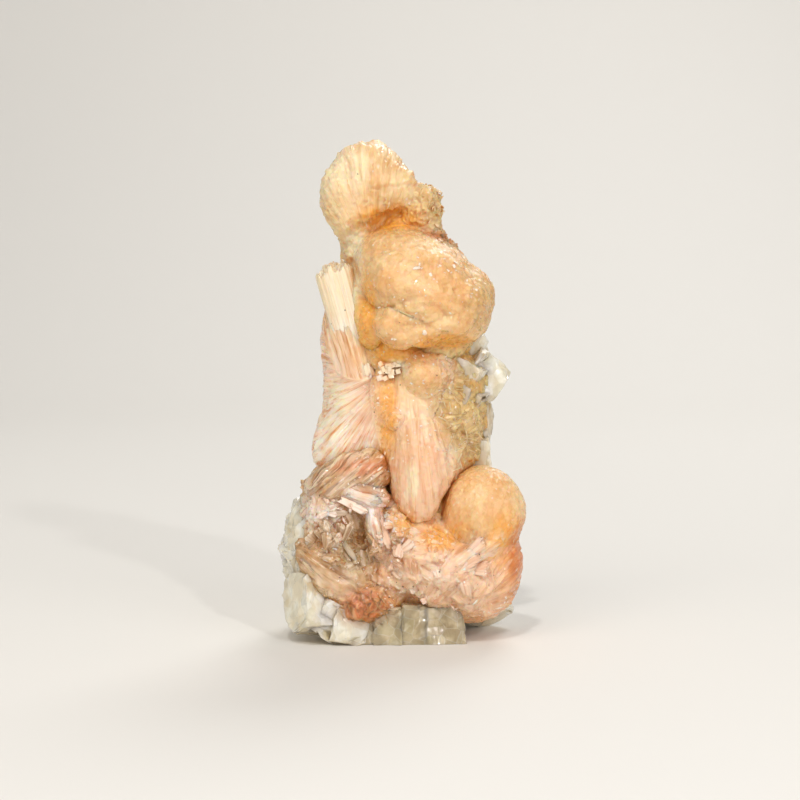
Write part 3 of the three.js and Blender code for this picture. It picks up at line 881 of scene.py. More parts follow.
def stilbite(name, tones=None, streak=0.5, facet=0.9, depth=0.3, fibre=0.3, rough=0.42, glitter=0.3,
             scatter=0.8, reach=2.2, clear=0.0, coat=0.5, patchy=0.3, painted_recess_shade="E2963C", specks=0.7):
    """Peach stilbite, which is waxy to pearly, in fine laths whose ends catch the light.

    `tones` are its body, pale and deep colours: without them it takes these, its streaks,
    patches and dullness from its vertices. `facet` is the width of the laths' ends and `depth`
    how uneven they are, in mm. `fibre` is the relief of the streaks, `glitter` how much smoother
    some ends are than others, `patchy` how much their tones differ, `reach` how far light
    spreads inside, in mm, and `specks` how dark the specks of dust are. The recess colour is
    painted shade, which ambient occlusion lays into creases and hollows, warm where light would
    glow through in shade. Rare white flecks in the colour are painted glints.
    """
    material, tree = new_material(name)
    place = add(tree, "ShaderNodeTexCoord").outputs["Object"]
    grain = kept(tree, "grain", "Vector")
    clouds, mottle, lines = (
        add(tree, "ShaderNodeTexNoise", {"Vector": where, "Scale": 1 / size, "Detail": 3.0, "Roughness": mix})
        for where, size, mix in ((place, 7 * MM, 0.6), (place, 1.7 * MM, 0.5), (grain, 0.62, 0.65))
    )
    cells, painted_glint_cells, dirt, glints = (
        add(tree, "ShaderNodeTexVoronoi", {"Vector": where, "Scale": 1 / size})
        for where, size in ((grain, facet), (grain, 0.5), (place, 2.6 * MM), (place, 0.7 * facet * MM))
    )
    tone, painted_glint_tone, rare = (chances(tree, texture) for texture in (cells, painted_glint_cells, dirt))
    if tones:
        body, pale, deep = (colour(code) for code in tones)
    else:
        body, pale, deep = (kept(tree, key, "Color") for key in TONES)
        streak, patchy, rough = (kept(tree, key) for key in LEVELS)
    calm = add(tree, "ShaderNodeMath", {0: 1.0, 1: kept(tree, "seam")}, operation="SUBTRACT")
    streak, patchy = (amount(tree, calm, factors=[level]) for level in (streak, patchy))
    open_sky = add(tree, "ShaderNodeAmbientOcclusion", {"Distance": 9 * MM}, samples=6).outputs["AO"]
    # Painted glints: rare white flecks on the lath ends, more of them on patchy forms.
    fresh = [
        amount(tree, painted_glint_cells.outputs["Distance"], (0.45, 0.25)), amount(tree, mottle, (0.42, 0.6)),
        patchy, 1.6,
    ]
    dusty = [amount(tree, rare[0], (0.62, 0.66))]
    base = painted(tree, body, [
        (pale, amount(tree, clouds, (0.36, 0.66))),
        *((colour(code), amount(tree, kept(tree, tint), factors=[strength]))
          for tint, (code, strength, _) in TINTS.items()),
        (pale, amount(tree, mottle, (0.5, 0.75), (0, 0.3))),
        (pale, amount(tree, tone[0], (0.5, 1.0), factors=[patchy])),
        (deep, amount(tree, tone[1], (0.6, 1.0), (0, 0.7), [patchy])),
        (deep, amount(tree, lines, (0.5, 0.72), factors=[streak])),
        (pale, amount(tree, lines, (0.46, 0.3), (0, 0.8), [streak])),
        # Painted shade: ambient occlusion lays the recess colour into creases and hollows, a warm glow where
        # light would shine through in shade.
        (colour(painted_recess_shade), amount(tree, open_sky, (0.6, 0.1), (0, 0.65))),
        # Painted glints: the white flecks.
        (colour("FFF6EA"), amount(tree, painted_glint_tone[0], (0.86, 0.94), factors=fresh)),
        (colour("3A2A18"), amount(tree, dirt.outputs["Distance"], (0.075, 0.045), (0, specks), dusty)),
    ])
    normal = bumped(tree, [
        (calm, 0.4 * fibre, lines), (calm, 0.5 * depth, tilted(tree, grain, cells, 2 / facet)),
    ])
    way = add(tree, "ShaderNodeNewGeometry").outputs["Normal"]
    ends = {0: slope_of(tree, glints), 1: (0.9, 0.9, 0.9), 2: way}
    ends = add(tree, "ShaderNodeVectorMath", ends, operation="MULTIPLY_ADD")
    surfaced(tree, {
        "Base Color": base, "IOR": 1.5, "Normal": normal, "Transmission Weight": clear,
        "Roughness": amount(tree, tone[2], (0.55, 0.95), (1, 1 - glitter), [rough]),
        "Subsurface Weight": scatter, "Subsurface Radius": (1.0, 0.5, 0.22),
        "Subsurface Scale": reach * MM, "Coat Roughness": 0.07, "Coat IOR": 1.5,
        "Coat Weight": amount(tree, tone[1], (0.55, 0.9), (0.15, 1.0), [coat]),
        "Coat Normal": add(tree, "ShaderNodeVectorMath", {0: ends}, operation="NORMALIZE"),
    })
    return material


def apophyllite(name, body, veil, clear, rough, density, veils):
    """Apophyllite: glassy faces with faint steps, over cloudy veils and healed cracks."""
    material, tree = new_material(name)
    place = add(tree, "ShaderNodeTexCoord").outputs["Object"]
    clouds, steps, lines = (
        add(tree, "ShaderNodeTexNoise", {"Vector": where, "Scale": 1 / size, "Detail": detail})
        for where, size, detail in (
            (place, 3.4 * MM, 3.0), (place, 0.9 * MM, 2.0), (kept(tree, "grain", "Vector"), 0.4, 2.0)
        )
    )
    cells, cracks = (
        add(tree, "ShaderNodeTexVoronoi", {"Vector": place, "Scale": 1 / (2.8 * MM)}, feature=feature)
        for feature in ("F1", "DISTANCE_TO_EDGE")
    )
    tone = chances(tree, cells)
    open_sky = add(tree, "ShaderNodeAmbientOcclusion", {"Distance": 5 * MM}, samples=6).outputs["AO"]
    veil = colour(veil)
    base = painted(tree, colour(body), [
        (veil, amount(tree, clouds, (0.42, 0.68), (0, veils))),
        (veil, amount(tree, tone[0], (0.4, 1.0), (0, 0.4))),
        (colour("C9C094"), amount(tree, tone[1], (0.55, 1.0), (0, 0.3))),
        (colour("F6F4EA"), amount(tree, cracks, (0.05, 0.0), (0, 0.25))),
        *((colour(TINTS[tint][0]), amount(tree, kept(tree, tint), factors=[strength]))
          for tint, strength in (("rust", 0.6), ("olive", 0.35), ("amber_and_painted_glow", 0.4))),
        # Painted shade: ambient occlusion lays a warm tone into the creases between crystals.
        (colour("EBD3A4"), amount(tree, open_sky, (0.6, 0.15), (0, 0.6))),
    ])
    normal = bumped(tree, [
        (1.0, 0.8, tilted(tree, place, cells, 900.0)), (0.5, 0.12, steps), (0.6, 0.14, lines),
    ])
    inner = {"Color": colour("D5E2BC"), "Density": density}
    surfaced(tree, {
        "Base Color": base, "IOR": 1.535, "Normal": normal,
        "Roughness": amount(tree, tone[2], (0.3, 0.9), (rough, rough + 0.2)),
        "Transmission Weight": amount(tree, clouds, (0.35, 0.65), (clear * 1.4, clear * 0.5)),
        "Subsurface Weight": 0.6, "Subsurface Scale": 2.4 * MM, "Subsurface Radius": (1.0, 1.0, 0.8),
        "Coat Weight": 0.9, "Coat Roughness": 0.04, "Coat IOR": 1.5,
    }, Volume=add(tree, "ShaderNodeVolumeAbsorption", inner))
    return material


# All the grown-together stilbite: waxy balls, pearly fans and sparkling broken laths. Each form
# brings its own tones, how streaked and patchy it is, and how dull its shine.
grown = stilbite(
    "peach stilbite", facet=0.8, depth=0.5, fibre=0.7, glitter=0.5, coat=0.8, reach=2.6, scatter=0.75,
)
# Iron-stained stilbite: the same laths under an orange-red film.
stained = stilbite(
    "iron-stained stilbite", ("E2A06A", "F2C79C", "CC7C46"), streak=0.6, facet=0.8, depth=0.5,
    fibre=0.5, rough=0.4, painted_recess_shade="CF7434",
)
# The small bright blocks: fresh pearly faces, nearly white. The same white chips in the glint crusts are
# painted glints.
bright = stilbite(
    "pearly stilbite and painted glints", ("F8E4CC", "FFF6EA", "E9C08E"), streak=0.2, facet=1.6, depth=0.1,
    fibre=0.2, rough=0.14, glitter=0.06, coat=0.8, scatter=0.0, specks=0.0, painted_recess_shade="F3C28E",
)
# The long laths at the lower left: brownish glass with striations, half see-through.
glassy = stilbite(
    "glassy stilbite plates", ("E4C4A2", "F5E6D6", "C79C70"), streak=0.6, facet=1.3, depth=0.35,
    fibre=0.5, rough=0.26, glitter=0.18, scatter=0.7, clear=0.08, coat=0.8, patchy=0.8,
    painted_recess_shade="B48A4C",
)
# The cream sheaf top: fresh lath ends, nearly white.
cream_laths = stilbite(
    "cream stilbite laths", ("F5DDBA", "FFF2DE", "DBAA76"), streak=0.6, facet=1.0, depth=0.15,
    fibre=0.5, rough=0.34, patchy=0.4, scatter=0.3, reach=1.2,
)
# Small lath ends on the cap's shoulder: grains that catch the light.
pale_grains = stilbite(
    "pale stilbite grains", ("EFC58C", "FBE6C4", "D9A05C"), streak=0.3, facet=0.8, depth=0.1,
    fibre=0.2, rough=0.26, patchy=0.5, coat=0.8, scatter=0.0,
)
# The plates in the hollow: brownish pink glass, stained between the laths.
brown_laths = stilbite(
    "brown glassy stilbite laths", ("DEB586", "FCE9D2", "AE8452"), streak=0.7, facet=1.2, depth=0.3,
    fibre=0.5, rough=0.2, patchy=0.8, scatter=0.1, reach=0.8, clear=0.06, coat=1.0, painted_recess_shade="CE9E64",
)
# Pink-white plates: thin pearly sheets with bright broken edges.
pink_plates = stilbite(
    "pink pearly plates", ("F6D0B0", "FFEEDF", "E0A078"), streak=0.6, facet=1.1, depth=0.35,
    fibre=0.5, rough=0.3, glitter=0.2, coat=0.8, patchy=0.7, scatter=0.1, reach=0.6, painted_recess_shade="DE9A5C",
)
# The needles of the nest: thin, straw-coloured and bright.
pale_needles = stilbite(
    "straw stilbite needles", ("EAD29A", "FFF6D8", "CDAC6C"), streak=0.3, facet=0.8, depth=0.1,
    fibre=0.2, rough=0.28, glitter=0.15, scatter=0.0, painted_recess_shade="F2E0B0",
)
# Specks of dark mineral dust that sit in the hollows between the grains.
dark_specks = stilbite(
    "dark mineral specks", ("4A3826", "6A5236", "2E2216"), streak=0.1, facet=0.8, depth=0.1,
    fibre=0.1, rough=0.6, coat=0.0, scatter=0.0, painted_recess_shade="3A2A1A", specks=0.0,
)
# Apophyllite: pale green-grey glass, clear enough to show what is behind its faces.
clear_green = apophyllite("clear apophyllite", "FAEACB", "FFFCF0", 0.17, 0.05, 2.0, 0.8)
# The blocks at the foot: the same glass, cloudier and deeper in tone.
milky_green = apophyllite("cloudy apophyllite", "BFAB82", "E6D6B4", 0.24, 0.06, 6.0, 0.7)

# ---- the cap, its neck and the big ball ----


def cap_skin(p):
    """Upright ribs near the top, and grainy wax below."""
    x, y, z = p.T
    turn = np.arctan2(x + 5.2, z - 74) * 17 + 0.5 * ripple(p / 5, 21)
    ribs = np.stack([turn, np.zeros(len(p)), z * 0.05], axis=1)
    high = smooth_step((z - 88.0) / 4) * smooth_step((x + 12.5) / 2)
    relief = high * (0.34 * ripple(ribs, 22) + 0.22 * ripple(ribs * 2.4, 23))
    ledge = 0.5 * smooth_step((z - 89.6 - 0.1 * x + 0.5 * ripple(p / 2, 26)) / 0.5)
    ledge = ledge * smooth_step((x + 7) / 2) * (y < 0)
    return relief + ledge + (1 - 0.7 * high) * 0.4 * facets(p, 1.0, 24) + 0.3 * swell(p, 4.5, 25, 3)


# The scales that overlap on the ball: right, up, width, height, roll, how far they stand proud.
SCALES = [
    (-2.7, 62.3, 2.7, 2.5, 10, 1.3), (1.6, 64.7, 2.3, 1.8, -10, 1.1), (5.4, 65.5, 3.2, 1.8, -20, 1.0),
    (-0.8, 60.0, 3.2, 2.1, -8, 1.1), (4.4, 60.6, 3.4, 2.0, 6, 1.1), (8.2, 63.2, 2.6, 1.5, 12, 0.8),
    (11.6, 63.8, 3.4, 2.3, 24, 0.9), (5.5, 69.0, 6.2, 2.9, -16, 0.8), (-1.4, 72.4, 5.0, 5.0, 20, 0.9),
    (7.4, 74.0, 6.2, 2.6, -34, 0.8), (14.2, 68.4, 3.8, 3.2, -30, 0.7), (-3.6, 67.2, 3.4, 3.0, 30, 0.7),
    (-0.8, 65.2, 2.3, 1.6, 24, 1.2), (3.4, 66.6, 2.6, 1.4, -12, 1.0), (10.4, 66.6, 3.0, 1.8, -16, 0.8),
]


def ball_skin(p):
    """Overlapping flat scales on the front, soft slanting folds and a fine pavement of lath ends."""
    x, y, z = p.T
    slant = np.stack([(x * 0.62 + z * 0.78) / 3.4, y / 9, (x * 0.78 - z * 0.62) / 10], 1)
    proud = np.zeros(len(p))
    wander = 0.5 * ripple(p / 2.2, 50)
    for right, up, wide, tall, roll, height in SCALES:
        c, s = math.cos(math.radians(roll)), math.sin(math.radians(roll))
        across, over = x - right + wander, z - up + wander
        far = np.hypot((across * c + over * s) / wide, (over * c - across * s) / tall)
        proud = np.maximum(proud, height * np.sqrt(np.maximum(0, 1 - far**2)))
    folds = 0.3 * ripple(slant, 41) + 0.16 * ripple(slant * 2.3, 42)
    return proud * (y < -9) + folds + 0.18 * facets(p, 1.2, 43) + 0.14 * swell(p, 2.4, 48, 2)


# The amber forms under the cap and round the ball's foot carry painted glow of light in shade.
upper = fused("upper_growth", [
    form((-5.9, 0, 86.9), (8.0, 8.4, 11.2), "cap", cap_skin, (0.02, 0.1, 1), (-5, 3, 74), soft=0.3,
         lobes=(((-4.5, -2.0, -0.8), (4.9, 6.6, 8.2), -14), ((1.6, -1, 4.4), (4.0, 6.2, 5.4), 10),
                ((-1.6, 1, 3.6), (6.9, 6.4, 6.8), 0), ((-1.2, -1.5, 6.4), (5.8, 5.4, 5.0), 0)),
         pads=((2.0, 2.4, 7.0, 5.0, 6, 0.8),), flat=True,
         dents=((4.4, -6.0, 8.0, 5.0, -8, 3.6), (-1.0, -8.0, 5.0, 5.0, 0, 1.6))),
    form((4.0, -1.6, 84.8), (4.2, 5.6, 5.2), "cap", broken_skin(0.35, 1.1, 2.2, 0.8, 1.6, 31)),
    form((1.2, -1.4, 87.2), (2.8, 4.6, 3.0), "cap", broken_skin(0.3, 1.1, 2.2, 0.8, 1.6, 34), (0.5, 0, 1)),
    form((5.6, -1.4, 80.6), (3.0, 4.4, 3.8), "cap", broken_skin(0.35, 1.1, 2.2, 0.8, 1.6, 35)),
    form((-7.4, 0.2, 77.2), (4.1, 6.2, 8.6), "cap", broken_skin(0.3, 0.9, 2.2, 0.8, 2.0, 32), (0.2, 0, -1)),
    form((0.4, 0.4, 79.4), (7.2, 6.2, 6.6), "amber_and_painted_glow", broken_skin(0.4, 0.6, 2.4, 0.8, 2.6, 33)),
    form(BALL_CENTRE, BALL_RADII, "ball", ball_skin, (math.sin(BALL_LEAN), 0, math.cos(BALL_LEAN)),
         BALL_WAIST, soft=0.4,
         lobes=(((6.8, 1.0, -2.2), (7.2, 9.6, 6.6), 0), ((-3.0, 1.0, 3.2), (8.4, 10.0, 8.0), 0))),
    form((1.0, -11.2, 62.8), (6.2, 5.6, 4.4), "ball", ball_skin, (0.1, 0, 1), BALL_WAIST),
    form((7.6, -11.2, 63.6), (6.0, 5.4, 3.8), "ball", ball_skin, (-0.16, 0, 1), BALL_WAIST),
    form((-5.0, -8.0, 62.4), (3.6, 4.6, 5.0), "amber_and_painted_glow", waxy_skin(0.3, 0.3, 1.0, 77)),
    form((6.8, -1.4, 76.2), (9.0, 5.8, 3.9), "stained", broken_skin(0.4, 1.1, 1.8, 0.7, 1.3, 44),
         (0.59, 0, 0.81)),
    form((7.2, -4.2, 58.6), (6.8, 5.8, 3.8), "nest", broken_skin(0.5, 0.8, 2.2, 0.7, 1.8, 45)),
    form((-7.2, -3.6, 64.6), (2.8, 5.6, 9.6), "amber_and_painted_glow", broken_skin(0.3, 0.25, 3, 0.7, 3, 47), (-0.24, 0, 1)),
    form((0, 3, 68), (9, 8, 17), "cap", broken_skin(0.7, 0.4, 4, 0.9, 3, 13)),
], grown, fillet=1.5)

# ---- the middle: fans, club, dome and nest ----


def club_skin(p):
    """Long soft grooves that run down to the tip."""
    turn = np.arctan2(p[:, 0] - 3.2, -(p[:, 1] + 3)) * 5
    ribs = np.stack([turn, p[:, 2] * 0.06, np.zeros(len(p))], axis=1)
    grooves = 0.16 * ripple(ribs, 61) + 0.12 * ripple(ribs * 2.4, 62)
    return grooves + 0.2 * facets(p, 1.1, 63) + 0.25 * swell(p, 4, 67, 2)


def sheaf_skin(p):
    """Fine laths side by side, all along the sheaf."""
    way = unit(p - SHEAF_FOOT) * SHEAF_REACH
    return 0.2 * ripple(way / 1.4, 55) + 0.14 * ripple(way / 0.7, 56) + 0.2 * swell(p, 5, 57, 2)


def trough_skin(p):
    """Small steps one below the other."""
    return 0.2 * ripple(p / (5, 5, 0.6), 59)


# The amber trough and the amber form under the ball carry painted glow of light in shade.
middle = fused("middle_growth", [
    form((1, 2.5, 44), (13, 10.6, 19), "granular", broken_skin(0.8, 0.8, 2.8, 0.9, 3, 12)),
    form((-8.2, -0.6, 46), (7.0, 8.2, 12), "fan", fan_skin(FAN_WAIST, 0.7, 0.5, 1.5, 54), UP, FAN_WAIST,
         lobes=(((-3.0, -1.0, -7.6), (6.4, 6.8, 7.6), 20), ((2.6, -2.0, -5), (5.8, 6.6, 9.4), 0)), soft=1.0),
    form((-10.6, 0, 56.4), (5.2, 6.4, 10.4), "fan", fan_skin(FAN_WAIST, 0.7, 0.5, 1.8, 53), (-0.12, 0, 1),
         FAN_WAIST),
    form((-9.4, -3.6, 58.0), (4.4, 5.2, 11.4), "sheaf", sheaf_skin, (-0.26, 0, 0.966), SHEAF_FOOT, flat=True),
    form((-2.6, -7.4, 45), (2.8, 3.2, 9.4), "amber_and_painted_glow", trough_skin, (-0.1, 0, 1)),
    form((-1.0, -10.6, 44.2), (1.3, 1.6, 1.7), "satin", waxy_skin(0.1, 0.1, 0.9, 68)),
    form((3.2, -9.4, 34.4), (5.3, 5.8, 11.2), "satin", club_skin, (0.06, -0.12, -1), CLUB_WAIST, soft=0.5,
         flat=True),
    form((6.6, -7.6, 37.2), (4.6, 5.4, 8.0), "satin", club_skin, (0.24, -0.1, -1), CLUB_WAIST, flat=True),
    form((1.8, -7.8, 45.4), (3.3, 4.6, 9.4), "satin", club_skin, (0.1, -0.1, -1), CLUB_WAIST, flat=True),
    form((3.6, -5.8, 49.6), (5.6, 4.8, 7.4), "ball", waxy_skin(0.4, 0.35, 1.1, 66), UP, (1, -4, 58)),
    form((4.2, -8.4, 52.8), (3.9, 5.2, 4.4), "ball", waxy_skin(0.15, 0.12, 0.9, 64)),
    form((7.4, -6.6, 53.4), (3.2, 4.6, 3.9), "granular", waxy_skin(0.3, 0.4, 1.0, 69)),
    form((-1.0, -5.0, 57.4), (6.2, 6.2, 4.4), "amber_and_painted_glow", waxy_skin(0.4, 0.3, 1.0, 46)),
    form((11.0, -1.8, 45), (6.4, 8.0, 14), "nest", broken_skin(0.5, 0.7, 3.0, 0.6, 4.0, 71),
         lobes=(((-2.6, -0.6, -3), (4.4, 7.4, 8), 0), ((2.8, -1.0, 5.4), (4.0, 6.4, 5.4), 0))),
], grown)

# ---- the foot: side ball, flange, broken plates and the brown hollow ----


def side_ball_skin(p):
    """Smooth wax above, and fibres that fall away below."""
    low = smooth_step((25 - p[:, 2]) / 7)
    turn = np.arctan2(p[:, 0] - 12, p[:, 2] - 14) * 9
    ribs = np.stack([turn, np.zeros(len(p)), np.zeros(len(p))], axis=1)
    fibres = low * (0.2 * ripple(ribs, 82) + 0.2 * facets(p, 1.1, 83))
    return 0.2 * swell(p, 5, 81, 2) + fibres + 0.14 * facets(p, 1.0, 84)


lower = fused("lower_growth", [
    form((-1, 2.5, 17), (18, 15, 17.4), "granular", broken_skin(0.9, 0.9, 3.2, 0.9, 3, 11),
         dents=((-6.6, 2.0, 7.6, 9.6, 20, 3.2),)),
    form((16.2, -7, 25.8), (8.0, 8.4, 8.9), "ball", side_ball_skin, UP, (11, -4, 15), soft=0.4,
         lobes=(((3.0, -0.6, -0.4), (5.6, 6.8, 6.0), 0),)),
    form((17.2, -6.6, 13.4), (7.0, 6.8, 9.6), "stained", fan_skin(FLANGE_WAIST, 0.8, 0.4, 1.4, 88),
         (0.34, 0, 1), FLANGE_WAIST),
    form((11.2, -2.6, 13.0), (11.2, 13.4, 9.6), "granular", broken_skin(0.9, 0.6, 3.4, 0.9, 3.4, 85)),
    form((4.4, -8.6, 17), (8.2, 7.2, 7.6), "granular", broken_skin(0.8, 0.6, 3.2, 0.9, 3.2, 86)),
    form((14.0, -5.2, 9.4), (6.8, 8.4, 5.6), "granular", broken_skin(0.8, 0.45, 3.4, 0.9, 3.2, 87)),
    form((-11.6, -1.4, 17), (10.6, 13.0, 14), "brown", broken_skin(0.8, 1.1, 3.2, 0.9, 3.4, 101),
         dents=((4.0, 1.8, 6.6, 8.8, 22, 3.2),)),
    form((-10.4, -2.4, 28), (8.8, 9.8, 7.6), "brown", broken_skin(0.6, 1.0, 2.8, 0.8, 3.4, 102)),
    form((-14.6, -7.6, 25.4), (4.0, 5.6, 4.4), "pink", broken_skin(0.5, 1.3, 2.4, 0.9, 2.6, 104),
         (-0.5, 0, 1)),
    form((-1.4, -9.4, 21.4), (3.8, 5.4, 5.6), "pink", broken_skin(0.6, 1.3, 2.4, 0.9, 2.6, 105), (0.3, 0, 1)),
    form((-12.0, -8.4, 12.6), (6.4, 6.0, 4.6), "brown", broken_skin(0.6, 1.1, 3.0, 0.8, 4, 106), (0.6, 0, 1)),
    form((-10.8, -8.0, 33.0), (4.0, 5.6, 8.0), "brown", fan_skin(ARCH_WAIST, 1.2, 0.7, 1.2, 107),
         (0.9, -0.1, 0.44)),
    form((-6.2, -8.4, 34.0), (3.0, 5.0, 5.0), "brown", fan_skin(ARCH_WAIST, 1.0, 0.6, 1.2, 112),
         (0.96, -0.1, -0.3)),
    form((-6.8, -9.4, 29.2), (2.5, 5.4, 5.2), "pink", fan_skin((-34, 0, 36), 0.8, 0.3, 0.8, 108),
         (0.93, 0, -0.26)),
    form((-12.8, -9.4, 13.6), (3.6, 5.4, 8.2), "brown", fan_skin((-36, 0, 29), 1.0, 0.4, 1.0, 109),
         (0.8, 0, -0.56)),
    form((-4.6, -10.6, 22.8), (2.0, 5.0, 5.8), "pink", fan_skin((-12, 0, 60), 0.9, 0.4, 0.8, 110),
         (0.2, 0, -0.97)),
    form((12.4, -11.0, 16.4), (2.8, 5.0, 9.2), "pink", fan_skin((-6, 0, 4), 1.1, 0.3, 0.9, 111),
         (0.8, 0, 0.55)),
    form((-7.0, -8.8, 7.8), (7.0, 6.2, 4.6), "stained", broken_skin(0.6, 1.1, 2.4, 0.7, 3, 121), (0.1, 0, 1)),
], grown)

# ---- the tall sheaf on the left ----

sheaf(
    "cream_sheaf", cream_laths, SHEAF_FOOT + (0, 0.8, 0), SHEAF_WAY, (-0.12, -1, 0), 137.8,
    1.66, 1.6, (34, 6), 52, ragged=0.014, round_end=0.014, relief=0.026, start=0.84, rows=60, boxy=3.0,
)

# ---- small bright blocks ----

random = np.random.default_rng(65)
bright_table = []
for row in range(4):
    for step in range(6 - row):
        x, y, z = random.uniform(-0.26, 0.26, 3)
        bright_table.append((
            (-3.1 + 1.02 * step - 0.2 * row + x, -9.5 + y, 54.8 + 0.26 * step - 0.92 * row + z),
            random.uniform((0.7, 1.8, 0.7), (1.3, 2.2, 1.2)),
            random.uniform((-34, -34, -30), (24, 4, 30)),
        ))
blocks("bright_blocks", bright, 65, bright_table, trim=0.06, bevel=0.05, worn=0.0, cuts=0)

# ---- laths and feather plates ----


def plate(name, material, foot, axis, facing, length, width, thick, laths, ragged, seed):
    """A flat plate of laths, nearly as wide at its foot as at its broken end."""
    back = 1.6 * length
    whole = back + length
    sheaf(
        name, material, np.asarray(foot, float) - unit(np.asarray(axis, float)) * back, axis, facing,
        whole, *(math.degrees(math.atan(side / 2 / whole)) for side in (width, thick)), (laths, 3), seed,
        ragged=ragged * length / whole, relief=0.07, round_end=0.16 * length / whole,
        start=back / whole, columns=150, rows=26, cap_rows=12,
    )


# Name, material, foot, way, facing, length, width, thickness, how many laths and how ragged.
for seed, row in enumerate((
    ("feather_1", pink_plates, (12.4, -14.8, 17.4), (0.72, -0.06, 0.66), (-0.1, -1, 0.3),
     6.4, 2.6, 1.0, 12, 0.3),
    ("feather_2", pink_plates, (10.0, -15.2, 14.4), (0.82, -0.08, 0.5), (-0.1, -1, 0.3),
     7.4, 2.4, 1.0, 12, 0.3),
    ("feather_3", pink_plates, (13.4, -15.0, 14.6), (0.86, -0.04, 0.42), (-0.1, -1, 0.3),
     5.4, 2.2, 1.0, 10, 0.3),
    ("striated_1", glassy, (-9.4, -13.4, 30.0), (0.93, -0.12, -0.24), (-0.1, -1, 0.4),
     6.6, 2.6, 0.9, 14, 0.2),
    ("striated_2", pink_plates, (-11.0, -13.0, 28.4), (0.9, -0.1, -0.4), (-0.1, -1, 0.4),
     6.0, 2.2, 0.9, 12, 0.2),
    ("low_lath_1", glassy, (-17.4, -12.0, 17.6), (0.78, -0.14, -0.56), (-0.1, -1, 0.5),
     9.0, 1.6, 0.8, 8, 0.2),
    ("low_lath_2", pink_plates, (-15.4, -12.6, 18.6), (0.7, -0.14, -0.64), (-0.1, -1, 0.4),
     8.4, 1.2, 0.7, 7, 0.2),
    ("low_lath_3", glassy, (-12.6, -12.0, 22.4), (0.56, -0.1, -0.8), (-0.2, -1, 0.4),
     8.0, 1.4, 0.7, 8, 0.24),
    ("hollow_lath_1", glassy, (-6.2, -13.2, 27.0), (0.1, -0.1, -0.97), (-0.3, -1, 0.2),
     7.6, 1.8, 0.8, 9, 0.2),
    ("hollow_lath_2", pink_plates, (-3.8, -14.4, 24.4), (0.3, -0.12, -0.93), (-0.2, -1, 0.2),
     5.6, 2.0, 0.9, 10, 0.3),
), 110):
    plate(*row, seed)

# ---- the clear crystals ----

blocks("right_apophyllite", clear_green, 72, [
    ((15.8, -1.8, 51.4), (7.6, 8, 8.4), (-18, 40, 14)), ((12.6, -5.0, 50.8), (6.0, 7, 8.6), (-8, 24, -20)),
    ((13.8, 0.4, 57.2), (5.0, 6, 6.4), (8, -10, 30)), ((14.2, 0.4, 43), (6, 8, 9), (6, 4, 20)),
    ((14.6, -0.8, 35.8), (6, 8, 8), (6, -8, 10)), ((14.8, -5.4, 47.6), (3.6, 4, 4.6), (20, 30, -20)),
])
lone(
    "left_band",
    form((-17.4, -2.4, 17), (6.2, 8.4, 11), None, broken_skin(0.6, 0.7, 3.6, 1.4, 2.4, 130),
         lobes=(((0.4, -1.6, -7.6), (6.0, 7.0, 5.6), 0),)),
    clear_green,
)
blocks("left_apophyllite", clear_green, 131, [
    ((-19.4, -4.4, 15.4), (6.6, 7, 8.4), (14, -22, 20)),
    ((-16.2, -8.4, 7.6), (10.8, 8.4, 11.6), (-24, 8, 34)),
    ((-17.8, 1, 9.2), (8, 9, 10), (4, -14, 12)), ((-13.6, -9.8, 4.6), (8.4, 7, 7), (10, 34, 24)),
    ((-17.2, 0.4, 23), (6, 7, 8), (20, -20, 30)), ((-10.4, -10.4, 3.2), (7, 7, 6.4), (-6, 12, 12)),
])
blocks("base_apophyllite", milky_green, 132, [
    ((-7.4, -9.4, 3.2), (5.4, 7, 7.0), (0, 0, 6)), ((-2.2, -9.6, 3.4), (5.6, 7.4, 7.8), (0, 0, -4)),
    ((2.6, -9.0, 3.6), (5, 7.6, 8.2), (0, 3, 2)), ((8.4, -8.8, 3.4), (8.0, 7.4, 8.2), (0, -5, 5)),
    ((7, 3, 3.6), (9, 9, 8.4), (0, 0, 24)), ((-7, 5, 3.4), (9, 9, 8), (0, 0, -16)),
], trim=0.08, bevel=0.16)

# ---- the back: blocky crystals in rows, which grew against the rock ----

# Height, how many side by side, how far the row reaches across and back, and the blocks' size.
BACK_ROWS = (
    (7, 5, 17, 14.6, 9.4), (17, 5, 15.6, 15, 9.4), (27, 4, 13, 13.2, 9), (37, 4, 10.6, 11.8, 8),
    (47, 3, 8.6, 11.2, 8), (58, 3, 7, 9.8, 7.2), (68, 2, 5, 8.6, 6.8),
)
random = np.random.default_rng(81)
back_table = []
for height, count, wide, deep, size in BACK_ROWS:
    for turn in np.linspace(-72, 72, count):
        side = math.radians(turn + random.uniform(-7, 7))
        back_table.append((
            (wide * math.sin(side), 3 + deep * math.cos(side) * 0.9, height + random.uniform(-2, 2)),
            size * random.uniform(0.75, 1.0, 3), random.uniform(-40, 40, 3),
        ))
blocks("back_apophyllite", clear_green, 133, back_table, cuts=1)

# ---- crusts of small crystals ----

FRONT_HALF = [((0, -16, 50), (60, 13, 90))]
LOW_FRONT = [((-7, -16, 24), (9, 13, 14)), ((8, -16, 8), (16, 13, 9)), ((4, -14, 46), (16, 12, 12))]

